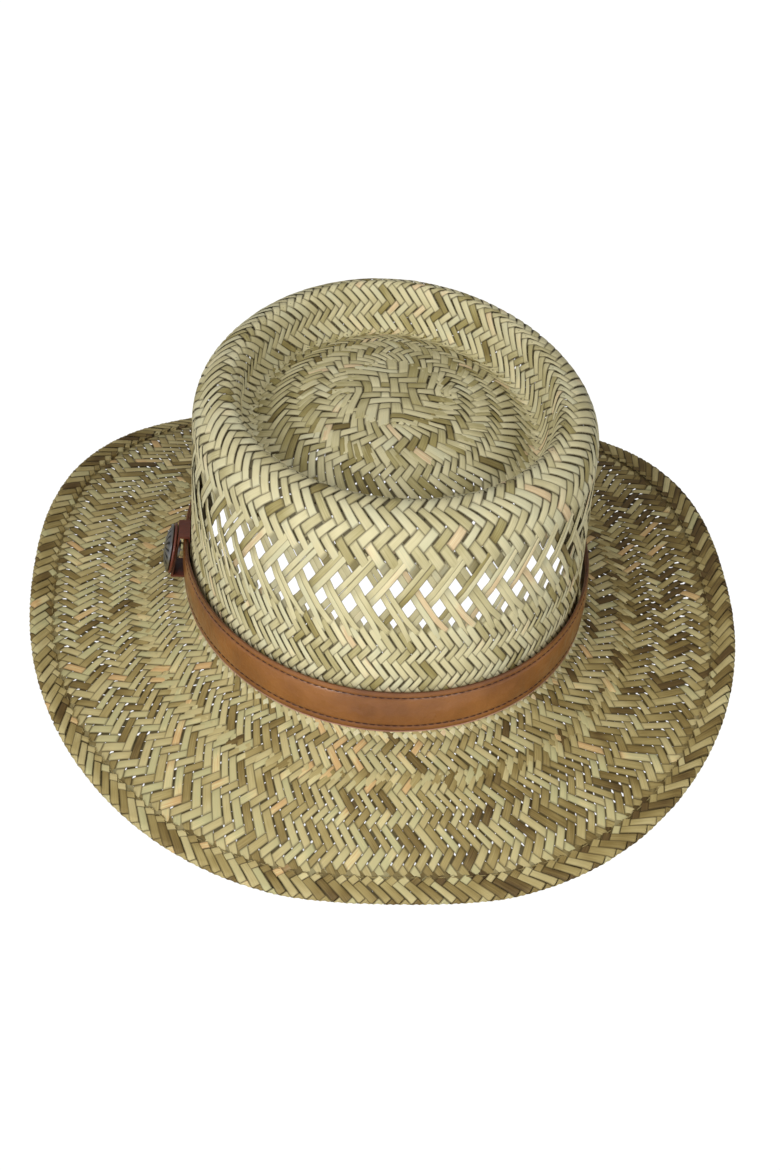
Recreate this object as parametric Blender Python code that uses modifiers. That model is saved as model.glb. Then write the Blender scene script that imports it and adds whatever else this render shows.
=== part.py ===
"""Woven straw cowboy hat: an oval crown with a crease round its dome, an open-work band, a
shaped brim with a wired hem, a sweatband inside, and a leather hatband with a metal
ornament that lifts off.

The hat stands on the front and back of its brim at z = 0. +Z is up and +Y is the front.
Every woven piece is a turned blank that is then pressed over a block, as a hatter does it.
"""
import math

import bmesh
import bpy
from mathutils import Matrix, Vector
from mathutils.geometry import interpolate_bezier

MM = 0.001

# Head size and crown, measured on the middle of the straw.
BASE_HALF_WIDTH = 85.0 * MM
BASE_HALF_LENGTH = 108.3 * MM
TOP_HALF_WIDTH = 85.2 * MM
TOP_HALF_LENGTH = 101.9 * MM
CROWN_HEIGHT = 93.6 * MM
CROWN_BACK_OFFSET = 6.7 * MM
CROWN_EGG = 4.5 * MM
RIM_RADIUS = 14.0 * MM
DOME_DROP = 10.0 * MM
DOME_FORWARD = 12.0 * MM
MOAT_DROP = 22.0 * MM
MOAT_RADIUS = 67.0 * MM
DOME_FLAT_SHARE = 0.75
DOME_FOOT_SHARE = 0.9
MOAT_RISE_SHARE = 0.6
BASE_SADDLE = 1.2 * MM

# Brim, measured on the middle of the straw.
BRIM_HALF_WIDTH = 155.9 * MM
BRIM_HALF_LENGTH = 178.9 * MM
BRIM_SQUARENESS = 2.39
BRIM_FALL = 24.0 * MM
BRIM_SIDE_RISE = 15.7 * MM
BRIM_TILT = 4.2 * MM
BRIM_BOW = 2.0 * MM
BRIM_SIDE_BOW = 5.0 * MM
REST_EDGE = 0.4 * MM
FLOOR_TO_BAND = 39.5 * MM

# Straw, its open-work band, and the hem round its wire.
STRAW_THICKNESS = 1.3 * MM
BAND_TO_BRIM = 3.4 * MM
VENT_TOP = 76.0 * MM
VENT_ROW = 55.3 * MM
VENT_PITCH = 18.2 * MM
VENT_COUNT = 48
VENT_STRAND = 4.3 * MM
HEM_WIDTH = 12.0 * MM
WIRE_RADIUS = 0.75 * MM

# Sweatband.
SWEAT_WIDTH = 32.0 * MM
SWEAT_THICKNESS = 1.0 * MM
LABEL_WIDTH = 22.0 * MM
LABEL_HEIGHT = 12.0 * MM
LABEL_THICKNESS = 0.5 * MM

# Hatband, its keeper loop and the ornament.
STRAP_WIDTH = 18.4 * MM
STRAP_THICKNESS = 1.2 * MM
STRAP_CORNER = 0.5 * MM
STRAP_SLACK = 1.3 * MM
LINING_THICKNESS = 0.4 * MM
LINING_LIP = 0.7 * MM
STITCH_INSET = 2.6 * MM
THREAD_RADIUS = 0.3 * MM
KEEPER_ANGLE = math.radians(183.0)
KEEPER_WIDTH = 13.0 * MM
KEEPER_THICKNESS = 0.9 * MM
KEEPER_BACK = 0.5 * MM
KEEPER_LEAN = math.radians(9.0)
ORNAMENT_RADIUS = 10.6 * MM
ORNAMENT_HEIGHT = 2.8 * MM
ORNAMENT_RIM = 0.7 * MM
ORNAMENT_DOME_SHARE = 0.9
ROSETTE_RADIUS = 11.3 * MM
ROSETTE_THICKNESS = 1.2 * MM
ROSETTE_CORNER = 0.5 * MM
SCREW_RADIUS = 1.8 * MM
SCREW_HEAD_RADIUS = 4.2 * MM
SCREW_HEAD_HEIGHT = 0.9 * MM

CLEARANCE = 0.35 * MM
NEAR_WALL = 12.0 * MM
SOFT_CORNER = 0.15 * MM
QUARTER_ROUND = 0.5523
SEGMENTS = 48
ROUND_SEGMENTS = 24

BAND_Z = FLOOR_TO_BAND
RIM_START = CROWN_HEIGHT - RIM_RADIUS
HALF_STRAW = STRAW_THICKNESS / 2
BASE_RADIUS = (BASE_HALF_WIDTH + BASE_HALF_LENGTH) / 2
TOP_RADIUS = (TOP_HALF_WIDTH + TOP_HALF_LENGTH) / 2
BASE_OVAL = (BASE_HALF_LENGTH - BASE_HALF_WIDTH) / (BASE_HALF_LENGTH + BASE_HALF_WIDTH)
TOP_OVAL = (TOP_HALF_LENGTH - TOP_HALF_WIDTH) / (TOP_HALF_LENGTH + TOP_HALF_WIDTH)
HEM_FOLD = WIRE_RADIUS + CLEARANCE + STRAW_THICKNESS
BRIM_WIDTH = BRIM_HALF_WIDTH - BASE_HALF_WIDTH
STRAP_INNER = HALF_STRAW + STRAP_SLACK + LINING_THICKNESS + CLEARANCE
STRAP_OUTER = STRAP_INNER + STRAP_THICKNESS


def clear_scene():
    """Remove whatever the new file holds."""
    for thing in list(bpy.data.objects):
        bpy.data.objects.remove(thing, do_unlink=True)


def collection(name):
    """Make a collection in the scene."""
    group = bpy.data.collections.new(name)
    bpy.context.scene.collection.children.link(group)
    return group


def material(name, colour, roughness, metallic=0.0):
    """Make a Principled material."""
    made = bpy.data.materials.new(name)
    made.use_nodes = True
    shader = made.node_tree.nodes["Principled BSDF"]
    shader.inputs["Base Color"].default_value = (*colour, 1.0)
    shader.inputs["Roughness"].default_value = roughness
    shader.inputs["Metallic"].default_value = metallic
    return made


def wall_radius(height):
    """Mean radius of the crown's wall, on the middle of the straw."""
    share = min(max(height / RIM_START, 0.0), 1.0)
    return BASE_RADIUS + (TOP_RADIUS - BASE_RADIUS) * share


def on_crown(point):
    """Press a point of a round blank onto the oval crown; z counts from the band's foot.

    Near the wall and outside it the distance from it is kept, so that what lies there fits.
    The crown is egg-shaped: a little narrower towards the front than towards the back.
    The dome inside its rim sits further forward the further it is from the rim.
    """
    angle = math.atan2(point.y, point.x)
    radius = math.hypot(point.x, point.y)
    share = min(max(point.z / RIM_START, 0.0), 1.0)
    oval = BASE_OVAL + (TOP_OVAL - BASE_OVAL) * share
    saddle = BASE_SADDLE * math.cos(2 * angle) * (1 - share)
    wall = wall_radius(point.z)
    near = min(1.0, radius / (wall - NEAR_WALL))
    stretch = oval * wall * near
    egg = CROWN_EGG * math.sin(angle) * near
    x = (radius - stretch - egg) * math.cos(angle)
    forward = DOME_FORWARD * (1 - near ** 4)
    y = (radius + stretch) * math.sin(angle) - CROWN_BACK_OFFSET + forward
    return Vector((x, y, BAND_Z + point.z + saddle))


def on_wall(angle, height):
    """A point on the middle of the crown's wall."""
    radius = wall_radius(height)
    return on_crown(Vector((radius * math.cos(angle), radius * math.sin(angle), height)))


def brim_inner(angle):
    """The line where the brim leaves the crown."""
    return on_wall(angle, 0.0) - Vector((0.0, 0.0, BAND_TO_BRIM))


def brim_edge(angle):
    """The brim's outer edge, level with the floor at the front and the back."""
    power = 2 / BRIM_SQUARENESS
    across = math.cos(angle)
    along = math.sin(angle)
    x = BRIM_HALF_WIDTH * math.copysign(abs(across) ** power, across)
    y = BRIM_HALF_LENGTH * math.copysign(abs(along) ** power, along)
    z = BAND_Z - BRIM_FALL + BRIM_SIDE_RISE * math.cos(2 * angle) + BRIM_TILT * across ** 3
    return Vector((x, y, max(z, REST_EDGE)))


def brim_point(angle, share):
    """A point on the middle of the brim, share 0 at the crown and 1 at the edge."""
    point = brim_inner(angle).lerp(brim_edge(angle), share)
    bow = -BRIM_BOW - BRIM_SIDE_BOW * math.cos(2 * angle)
    point.z += bow * 4 * share * (1 - share)
    return point


def brim_up(angle, share):
    """The brim's upward normal."""
    step = 0.01
    outward = brim_point(angle, share + step) - brim_point(angle, share - step)
    around = brim_point(angle + step, share) - brim_point(angle - step, share)
    return outward.cross(around).normalized()


def on_brim(point):
    """Press a point of a flat ring onto the brim; its radius counts from the brim's edge."""
    angle = math.atan2(point.y, point.x)
    from_edge = math.hypot(point.x, point.y) - BRIM_HALF_LENGTH
    width = (brim_edge(angle) - brim_inner(angle)).length
    edge = min(1.0, 1 + from_edge / width)
    placed = brim_point(angle, 1 + from_edge / width) + brim_up(angle, edge) * point.z
    placed.z = max(placed.z, 0.0)
    return placed


def finish(name, mesh, look, smooth=True):
    """Put a mesh in the hat's collection as one named sub-part."""
    mesh.name = name
    mesh.materials.clear()
    mesh.materials.append(look)
    if smooth:
        mesh.shade_smooth()
        mesh.set_sharp_from_angle(angle=math.radians(40))
    part = bpy.data.objects.new(name, mesh)
    HAT.objects.link(part)
    return part


def evaluated(thing):
    """Take an object's finished mesh and remove the object."""
    graph = bpy.context.evaluated_depsgraph_get()
    graph.update()
    mesh = bpy.data.meshes.new_from_object(thing.evaluated_get(graph))
    bpy.data.objects.remove(thing, do_unlink=True)
    return mesh


def turned(outline, closed=True, steps=SEGMENTS):
    """Turn an outline of (radius, height) points about the Z axis into a welded mesh."""
    mesh = bpy.data.meshes.new("outline")
    count = len(outline)
    edges = [(i, (i + 1) % count) for i in range(count if closed else count - 1)]
    mesh.from_pydata([(radius, 0.0, height) for radius, height in outline], edges, [])
    thing = bpy.data.objects.new("outline", mesh)
    HAT.objects.link(thing)
    screw = thing.modifiers.new("turn", "SCREW")
    screw.steps = steps
    screw.render_steps = steps
    screw.use_merge_vertices = True
    screw.merge_threshold = 0.00001
    result = evaluated(thing)
    work = bmesh.new()
    work.from_mesh(result)
    bmesh.ops.remove_doubles(work, verts=work.verts, dist=0.00001)
    bmesh.ops.recalc_face_normals(work, faces=work.faces)
    work.to_mesh(result)
    work.free()
    return result


def pressed(mesh, block):
    """Move each point of a blank onto its block and turn the faces out."""
    for vertex in mesh.vertices:
        vertex.co = block(vertex.co)
    work = bmesh.new()
    work.from_mesh(mesh)
    bmesh.ops.recalc_face_normals(work, faces=work.faces)
    work.to_mesh(mesh)
    work.free()
    return mesh


def woven(name, mesh, look):
    """Give an open surface the straw's thickness, half on each side."""
    part = finish(name, mesh, look)
    shell = part.modifiers.new("straw", "SOLIDIFY")
    shell.thickness = STRAW_THICKNESS
    shell.offset = 0.0
    return part


def ring_section(inner, outer, heights, corner=SOFT_CORNER):
    """A closed section standing off the crown's wall, with its two outer corners cut."""
    low = heights[0]
    high = heights[-1]
    front = [(outer - corner, low), (outer, low + corner)]
    front += [(outer, height) for height in heights[1:-1]]
    front += [(outer, high - corner), (outer - corner, high)]
    back = [(inner, height) for height in reversed(heights)]
    return [(wall_radius(height) + offset, height) for offset, height in front + back]


def thread_section(offset, height):
    """A thin four-sided section for a line of stitching."""
    radius = wall_radius(height) + offset
    reach = THREAD_RADIUS
    return [
        (radius, height - reach),
        (radius + reach, height),
        (radius, height + reach),
        (radius - reach, height),
    ]


def bend(start, leave, arrive, end, count):
    """Points along one curve between two (radius, height) ends, its handles in between."""
    handles = [Vector((radius, 0.0, height)) for radius, height in (start, leave, arrive, end)]
    return [(point.x, point.z) for point in interpolate_bezier(*handles, count)]


def crown_dome():
    """The round dome in the middle of the crown, down to the bottom of the crease."""
    apex = CROWN_HEIGHT - DOME_DROP
    moat = CROWN_HEIGHT - MOAT_DROP
    leave = (MOAT_RADIUS * DOME_FLAT_SHARE, apex)
    arrive = (MOAT_RADIUS * DOME_FOOT_SHARE, moat)
    outline = bend((0.0, apex), leave, arrive, (MOAT_RADIUS, moat), 8)
    woven("crown_dome", pressed(turned(outline, closed=False), on_crown), STRAW)


def crown_rim():
    """The rim round the dome: up from the crease, over the crest and down to the open-work."""
    crest_radius = TOP_RADIUS - RIM_RADIUS
    inner = MOAT_RADIUS + 3 * CLEARANCE
    moat = CROWN_HEIGHT - MOAT_DROP
    rise = (crest_radius - inner) * MOAT_RISE_SHARE
    round_off = RIM_RADIUS * QUARTER_ROUND
    crest = (crest_radius, CROWN_HEIGHT)
    slope = bend((inner, moat), (inner + rise, moat), (crest_radius - rise, CROWN_HEIGHT), crest, 6)
    over = (crest_radius + round_off, CROWN_HEIGHT)
    down = (TOP_RADIUS, RIM_START + round_off)
    shoulder = bend(crest, over, down, (TOP_RADIUS, RIM_START), 5)
    foot = VENT_TOP + CLEARANCE
    outline = slope[:-1] + shoulder + [(wall_radius(foot), foot)]
    woven("crown_rim", pressed(turned(outline, closed=False), on_crown), STRAW)


def crown_vent():
    """The open-work: two staggered rows of diamond holes between crossing strands."""
    low = VENT_ROW - VENT_PITCH / 2
    levels = [low, low + VENT_PITCH, low + 2 * VENT_PITCH]
    mesh = turned([(wall_radius(level), level) for level in levels], False, VENT_COUNT)
    work = bmesh.new()
    work.from_mesh(mesh)
    grid = list(work.edges)
    bmesh.ops.poke(work, faces=work.faces)
    inner = [edge for edge in grid if len(edge.link_faces) == 2]
    bmesh.ops.dissolve_edges(work, edges=inner, use_verts=False)
    rows = (VENT_ROW, VENT_ROW + VENT_PITCH / 2)
    diamonds = []
    for face in work.faces:
        height = face.calc_center_median().z
        if len(face.verts) == 4 and min(abs(height - row) for row in rows) < MM:
            diamonds.append(face)
    bmesh.ops.inset_individual(work, faces=diamonds, thickness=VENT_STRAND / 2, use_even_offset=True)
    bmesh.ops.delete(work, geom=diamonds, context="FACES")
    everything = work.verts[:] + work.edges[:] + work.faces[:]
    bmesh.ops.bisect_plane(
        work,
        geom=everything,
        plane_co=(0, 0, VENT_TOP),
        plane_no=(0, 0, 1),
        clear_outer=True,
        dist=0.00001,
    )
    work.to_mesh(mesh)
    work.free()
    woven("crown_vent_band", pressed(mesh, on_crown), STRAW)


def crown_wall():
    """The plain weave between the brim and the open-work."""
    low = -BAND_TO_BRIM + HALF_STRAW + CLEARANCE
    high = VENT_ROW - VENT_PITCH / 2 - CLEARANCE
    levels = (low, 0.0, high)
    outline = [(wall_radius(level), level) for level in levels]
    woven("crown_wall", pressed(turned(outline, closed=False), on_crown), STRAW)


def on_whole_brim(point):
    """Press a flat ring of BRIM_WIDTH onto the brim, from the hem's lower leaf to the crown."""
    angle = math.atan2(point.y, point.x)
    radius = math.hypot(point.x, point.y)
    from_edge = BRIM_HALF_LENGTH - radius
    past_hem = max(from_edge - HEM_WIDTH, 0.0) / (BRIM_WIDTH - HEM_WIDTH)
    width = (brim_edge(angle) - brim_inner(angle)).length
    if past_hem > 0.0:
        from_edge = HEM_WIDTH + past_hem * (width - HEM_WIDTH)
    lift = (HEM_FOLD - HALF_STRAW) * past_hem
    scale = (BRIM_HALF_LENGTH - from_edge) / radius
    return on_brim(Vector((point.x * scale, point.y * scale, point.z + lift)))


def brim():
    """The brim's weave, from the crown to the fold of the hem."""
    widest = BRIM_HALF_LENGTH - HEM_FOLD - CLEARANCE
    hem_start = BRIM_HALF_LENGTH - HEM_WIDTH
    inner = BRIM_HALF_LENGTH - BRIM_WIDTH
    rows = 5
    radii = [inner + (hem_start - inner) * row / rows for row in range(rows + 1)] + [widest]
    low = [(radius, -HEM_FOLD) for radius in radii]
    high = [(radius, -HEM_FOLD + STRAW_THICKNESS) for radius in reversed(radii)]
    finish("brim", pressed(turned(low + high), on_whole_brim), STRAW)


def brim_hem():
    """The straw folded up and back over the brim, round its wire."""
    outer = HEM_FOLD
    inner = HEM_FOLD - STRAW_THICKNESS
    centre = BRIM_HALF_LENGTH - HEM_FOLD
    leaf = BRIM_HALF_LENGTH - HEM_WIDTH
    leaf_low = -HEM_FOLD + STRAW_THICKNESS + CLEARANCE
    steps = 4
    turns = [math.radians(-90 + 180 * step / steps) for step in range(steps + 1)]
    outside = [(centre + outer * math.cos(turn), outer * math.sin(turn)) for turn in turns]
    inside = [(centre + inner * math.cos(turn), inner * math.sin(turn)) for turn in reversed(turns)]
    bend = centre - 2.5 * HEM_FOLD
    upper = [(bend, leaf_low + STRAW_THICKNESS), (leaf, leaf_low + STRAW_THICKNESS)]
    lower = [(leaf, leaf_low), (bend, leaf_low)]
    outline = outside + upper + lower + inside
    finish("brim_hem", pressed(turned(outline), on_brim), HEM)


def round_section(radius_at, height, radius, sides):
    """A round section for a wire."""
    turns = [2 * math.pi * side / sides for side in range(sides)]
    return [(radius_at + radius * math.cos(turn), height + radius * math.sin(turn)) for turn in turns]


def brim_wire():
    """The wire that lets the brim keep its shape."""
    outline = round_section(BRIM_HALF_LENGTH - HEM_FOLD, 0.0, WIRE_RADIUS, 6)
    finish("brim_wire", pressed(turned(outline), on_brim), WIRE)


def hem_stitching():
    """The thread that closes the hem, lying on its upper leaf."""
    height = -HEM_FOLD + 2 * STRAW_THICKNESS + 2 * CLEARANCE + THREAD_RADIUS
    outline = round_section(BRIM_HALF_LENGTH - HEM_WIDTH + STITCH_INSET, height, THREAD_RADIUS, 4)
    finish("hem_stitching", pressed(turned(outline), on_brim), PALE_THREAD)


def sweatband():
    """The soft band inside the crown, its stitching and a blank size label."""
    outer = -HALF_STRAW - CLEARANCE
    inner = outer - SWEAT_THICKNESS
    foot = -BAND_TO_BRIM + CLEARANCE
    section = ring_section(inner, outer, (foot, 0.0, foot + SWEAT_WIDTH))
    finish("sweatband", pressed(turned(section), on_crown), SWEAT)
    stitch = thread_section(inner - CLEARANCE - THREAD_RADIUS, foot + STITCH_INSET)
    finish("sweatband_stitching", pressed(turned(stitch), on_crown), PALE_THREAD)
    middle = foot + SWEAT_WIDTH / 2
    label_top = on_wall(-math.pi / 2, middle + LABEL_HEIGHT / 2).y
    hollow = LABEL_WIDTH ** 2 / 8 * BASE_HALF_LENGTH / TOP_HALF_WIDTH ** 2
    nearest = label_top - inner + hollow + CLEARANCE + LABEL_THICKNESS
    place = Vector((0.0, nearest, BAND_Z + middle))
    block_mesh("size_label", (LABEL_WIDTH, LABEL_THICKNESS, LABEL_HEIGHT), place, LABEL)


def block_mesh(name, size, centre, look):
    """A thin plate with its place in its own object."""
    mesh = bpy.data.meshes.new(name)
    work = bmesh.new()
    bmesh.ops.create_cube(work, size=1.0)
    bmesh.ops.scale(work, vec=size, verts=work.verts)
    work.to_mesh(mesh)
    work.free()
    part = finish(name, mesh, look, smooth=False)
    part.location = centre
    return part


def hatband():
    """Strap, lining and two lines of stitching, following the crown's wall."""
    lining_inner = HALF_STRAW + STRAP_SLACK
    heights = (-LINING_LIP, 0.0, STRAP_WIDTH - LINING_LIP)
    lining = ring_section(lining_inner, lining_inner + LINING_THICKNESS, heights)
    finish("hatband_lining", pressed(turned(lining), on_crown), LINING)
    strap = ring_section(STRAP_INNER, STRAP_OUTER, (0.0, STRAP_WIDTH), STRAP_CORNER)
    finish("hatband_strap", pressed(turned(strap), on_crown), LEATHER)
    lift = STRAP_OUTER + CLEARANCE + THREAD_RADIUS
    for name, height in (("lower", STITCH_INSET), ("upper", STRAP_WIDTH - STITCH_INSET)):
        ring = pressed(turned(thread_section(lift, height)), on_crown)
        finish(f"hatband_{name}_stitching", ring, THREAD)


def keeper_frame():
    """Place and turn of the keeper: x along the strap, y up, z out from the strap."""
    middle = STRAP_WIDTH / 2
    here = on_wall(KEEPER_ANGLE, middle)
    up = (on_wall(KEEPER_ANGLE, STRAP_WIDTH) - on_wall(KEEPER_ANGLE, 0.0)).normalized()
    along = on_wall(KEEPER_ANGLE + 0.01, middle) - on_wall(KEEPER_ANGLE - 0.01, middle)
    out = along.cross(up).normalized()
    along = up.cross(out)
    rotation = Matrix((along, up, out)).transposed().to_4x4()
    return Matrix.Translation(here) @ rotation


def slab(name, outline_loops, thickness):
    """A flat plate from closed outlines of (x, y) points; a second loop is a hole."""
    curve = bpy.data.curves.new(name, "CURVE")
    curve.dimensions = "2D"
    curve.fill_mode = "BOTH"
    curve.extrude = thickness / 2
    for loop in outline_loops:
        spline = curve.splines.new("POLY")
        spline.points.add(len(loop) - 1)
        for point, (x, y) in zip(spline.points, loop):
            point.co = (x, y, 0.0, 1.0)
        spline.use_cyclic_u = True
    thing = bpy.data.objects.new(name, curve)
    HAT.objects.link(thing)
    mesh = evaluated(thing)
    work = bmesh.new()
    work.from_mesh(mesh)
    bmesh.ops.remove_doubles(work, verts=work.verts, dist=0.00001)
    bmesh.ops.recalc_face_normals(work, faces=work.faces)
    work.to_mesh(mesh)
    work.free()
    return mesh


def keeper_gap():
    """Room between the strap and the keeper's front, at the strap's top and at its foot."""
    near = STRAP_OUTER + 2 * CLEARANCE + 2 * THREAD_RADIUS
    height = STRAP_WIDTH + 2 * CLEARANCE + LINING_LIP
    return near, near + height * math.tan(KEEPER_LEAN)


def keeper():
    """The leather loop round the strap; its front leans out towards the bottom."""
    near, far = keeper_gap()
    back = HALF_STRAW + CLEARANCE + KEEPER_BACK
    top = STRAP_WIDTH / 2 + CLEARANCE
    foot = -STRAP_WIDTH / 2 - LINING_LIP - CLEARANCE
    skin = KEEPER_THICKNESS
    lean = skin / math.cos(KEEPER_LEAN)
    slope = math.tan(KEEPER_LEAN) * skin
    inner = [(back, foot), (far, foot), (near, top), (back, top)]
    outer = [
        (back - KEEPER_BACK, foot - skin),
        (far + lean + slope, foot - skin),
        (near + lean - slope, top + skin),
        (back - KEEPER_BACK, top + skin),
    ]
    mesh = slab("keeper", [outer, inner], KEEPER_WIDTH)
    flat_to_strap = Matrix(((0, 0, 1, 0), (0, 1, 0, 0), (1, 0, 0, 0), (0, 0, 0, 1)))
    mesh.transform(flat_to_strap)
    work = bmesh.new()
    work.from_mesh(mesh)
    bmesh.ops.recalc_face_normals(work, faces=work.faces)
    work.to_mesh(mesh)
    work.free()
    part = finish("hatband_keeper", mesh, LEATHER, smooth=False)
    part.matrix_world = keeper_frame()
    return part


def ornament_frame():
    """Axis of the ornament: z out through the middle of the keeper's leaning front."""
    near, far = keeper_gap()
    front = (near + far) / 2 + KEEPER_THICKNESS / math.cos(KEEPER_LEAN)
    middle = -LINING_LIP / 2
    return keeper_frame() @ Matrix.Translation((0, middle, front)) @ Matrix.Rotation(-KEEPER_LEAN, 4, "X")


def bored(part, frame, radius, low, high):
    """Cut a round hole along the frame's Z axis."""
    mesh = turned([(0.0, high), (radius, high), (radius, low), (0.0, low)], False, ROUND_SEGMENTS)
    cutter = bpy.data.objects.new(f"{part.name}_bore", mesh)
    CUTTERS.objects.link(cutter)
    cutter.matrix_world = frame
    cutter.hide_render = True
    cutter.display_type = "WIRE"
    cut = part.modifiers.new("bore", "BOOLEAN")
    cut.operation = "DIFFERENCE"
    cut.solver = "EXACT"
    cut.object = cutter


def ornament(part_of_band):
    """Screw, leather rosette and domed metal cap on one axis."""
    frame = ornament_frame()
    hole = SCREW_RADIUS + CLEARANCE
    bored(part_of_band, frame, hole, -2 * KEEPER_THICKNESS, KEEPER_THICKNESS)

    seat = CLEARANCE
    face = seat + ROSETTE_THICKNESS
    rosette = [
        (hole, seat),
        (ROSETTE_RADIUS, seat),
        (ROSETTE_RADIUS, face - ROSETTE_CORNER),
        (ROSETTE_RADIUS - ROSETTE_CORNER, face),
        (hole, face),
    ]
    part = finish("ornament_rosette", turned(rosette, True, ROUND_SEGMENTS), LEATHER)
    part.matrix_world = frame

    back = face + CLEARANCE
    rim = back + ORNAMENT_RIM
    blind = back + ORNAMENT_HEIGHT / 2
    cap = [(0.0, blind), (hole, blind), (hole, back), (ORNAMENT_RADIUS, back), (ORNAMENT_RADIUS, rim)]
    for step in range(1, 6):
        turn = math.radians(90 * step / 5)
        bulge = (ORNAMENT_HEIGHT - ORNAMENT_RIM) * math.sin(turn)
        cap.append((ORNAMENT_RADIUS * ORNAMENT_DOME_SHARE * math.cos(turn), rim + bulge))
    cap[-1] = (0.0, back + ORNAMENT_HEIGHT)
    part = finish("ornament_cap", turned(cap, False, ROUND_SEGMENTS), SILVER)
    part.matrix_world = frame

    under = -KEEPER_THICKNESS - CLEARANCE
    tip = blind - CLEARANCE
    screw = [
        (0.0, tip),
        (SCREW_RADIUS, tip),
        (SCREW_RADIUS, under),
        (SCREW_HEAD_RADIUS, under),
        (SCREW_HEAD_RADIUS, under - SCREW_HEAD_HEIGHT),
        (0.0, under - SCREW_HEAD_HEIGHT),
    ]
    part = finish("ornament_screw", turned(screw, False, ROUND_SEGMENTS), SILVER)
    part.matrix_world = frame


clear_scene()
HAT = collection("cowboy_hat")
CUTTERS = collection("cutters")
STRAW = material("woven straw", (0.55, 0.50, 0.27), 0.6)
HEM = material("folded straw", (0.45, 0.37, 0.18), 0.65)
WIRE = material("hem wire", (0.6, 0.6, 0.6), 0.35, 1.0)
THREAD = material("brown thread", (0.12, 0.04, 0.015), 0.8)
PALE_THREAD = material("pale thread", (0.6, 0.52, 0.38), 0.8)
SWEAT = material("sweatband cloth", (0.62, 0.55, 0.42), 0.85)
LABEL = material("blank label", (0.8, 0.78, 0.72), 0.8)
LEATHER = material("brown leather", (0.25, 0.09, 0.025), 0.35)
LINING = material("lining", (0.42, 0.22, 0.15), 0.7)
SILVER = material("aged silver", (0.45, 0.45, 0.44), 0.3, 1.0)

crown_dome()
crown_rim()
crown_vent()
crown_wall()
brim()
brim_hem()
brim_wire()
hem_stitching()
sweatband()
hatband()
ornament(keeper())
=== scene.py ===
"""A woven seagrass cowboy hat: plaited crown, open-work band, shaped brim, hatband and ornament.

The straw is plaited flat, strand over strand, and then pressed over a hat block by Geometry
Nodes. All sizes are in metres; the hat stands on its brim at z = 0 with its front at +Y.
"""

from __future__ import annotations

import logging
import math
from collections.abc import Sequence
from dataclasses import dataclass, field
from enum import Enum

import bpy
import numpy as np
from mathutils import Matrix, Vector

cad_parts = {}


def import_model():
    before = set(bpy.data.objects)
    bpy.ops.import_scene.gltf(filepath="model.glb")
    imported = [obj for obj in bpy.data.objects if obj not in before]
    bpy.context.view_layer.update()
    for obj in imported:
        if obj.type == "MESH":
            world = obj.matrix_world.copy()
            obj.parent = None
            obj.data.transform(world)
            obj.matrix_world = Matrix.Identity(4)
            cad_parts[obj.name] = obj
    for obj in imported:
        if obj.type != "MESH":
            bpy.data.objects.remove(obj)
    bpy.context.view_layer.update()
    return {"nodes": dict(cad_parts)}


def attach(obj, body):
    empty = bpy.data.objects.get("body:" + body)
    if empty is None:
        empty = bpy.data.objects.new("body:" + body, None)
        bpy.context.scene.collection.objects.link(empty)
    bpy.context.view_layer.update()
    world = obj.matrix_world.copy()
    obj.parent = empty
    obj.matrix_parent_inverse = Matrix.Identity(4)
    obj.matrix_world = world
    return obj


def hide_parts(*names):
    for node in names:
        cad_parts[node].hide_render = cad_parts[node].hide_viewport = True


LOG = logging.getLogger("cowboy_hat")
MM = 0.001
TAU = 2 * math.pi
Array = np.ndarray
Socket = bpy.types.NodeSocket


class Family(Enum):
    """The two sets of strands that cross each other."""

    CLOCKWISE = -1
    ANTICLOCKWISE = 1


class Body(Enum):
    """The moving bodies of the hat."""

    HAT = "hat"
    HATBAND = "hatband"
    ORNAMENT = "ornament"


# ---------------------------------------------------------------------------------------
# Colours and node helpers


def linear(code: str) -> tuple[float, float, float, float]:
    """Turn an sRGB hex colour into linear RGBA.

    Args:
        code: six hex digits.

    Returns:
        The colour with alpha 1.
    """
    parts = [int(code[i : i + 2], 16) / 255 for i in (0, 2, 4)]
    turned = [c / 12.92 if c <= 0.04045 else ((c + 0.055) / 1.055) ** 2.4 for c in parts]
    return (turned[0], turned[1], turned[2], 1.0)


def add_node(
    tree: bpy.types.NodeTree,
    kind: str,
    links: dict | None = None,
    values: dict | None = None,
    **settings: object,
) -> bpy.types.Node:
    """Add one node with its settings, socket values and incoming links.

    Args:
        tree: the node tree.
        kind: the node's type name.
        links: input name or index to the output socket that feeds it.
        values: input name or index to its value.
        settings: properties of the node itself.

    Returns:
        The new node.
    """
    node = tree.nodes.new(kind)
    for key, value in settings.items():
        setattr(node, key, value)
    for key, value in (values or {}).items():
        node.inputs[key].default_value = value
    for key, socket in (links or {}).items():
        tree.links.new(socket, node.inputs[key])
    return node


def new_material(name: str) -> tuple[bpy.types.Material, bpy.types.NodeTree, bpy.types.Node]:
    """Start a node material.

    Args:
        name: the material's name.

    Returns:
        The material, its node tree and its Principled shader.
    """
    made = bpy.data.materials.new(name)
    made.use_nodes = True
    return made, made.node_tree, made.node_tree.nodes["Principled BSDF"]


def calculate(
    tree: bpy.types.NodeTree, operation: str, *terms: Socket | float, clamp: bool = False
) -> Socket:
    """Add one step of arithmetic.

    Args:
        tree: the node tree.
        operation: what the step does.
        terms: its numbers and sockets, in order.
        clamp: keep the result between 0 and 1.

    Returns:
        The result.
    """
    links = {place: term for place, term in enumerate(terms) if isinstance(term, Socket)}
    values = {place: term for place, term in enumerate(terms) if place not in links}
    return add_node(tree, "ShaderNodeMath", links, values, operation=operation, use_clamp=clamp).outputs[0]


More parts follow.
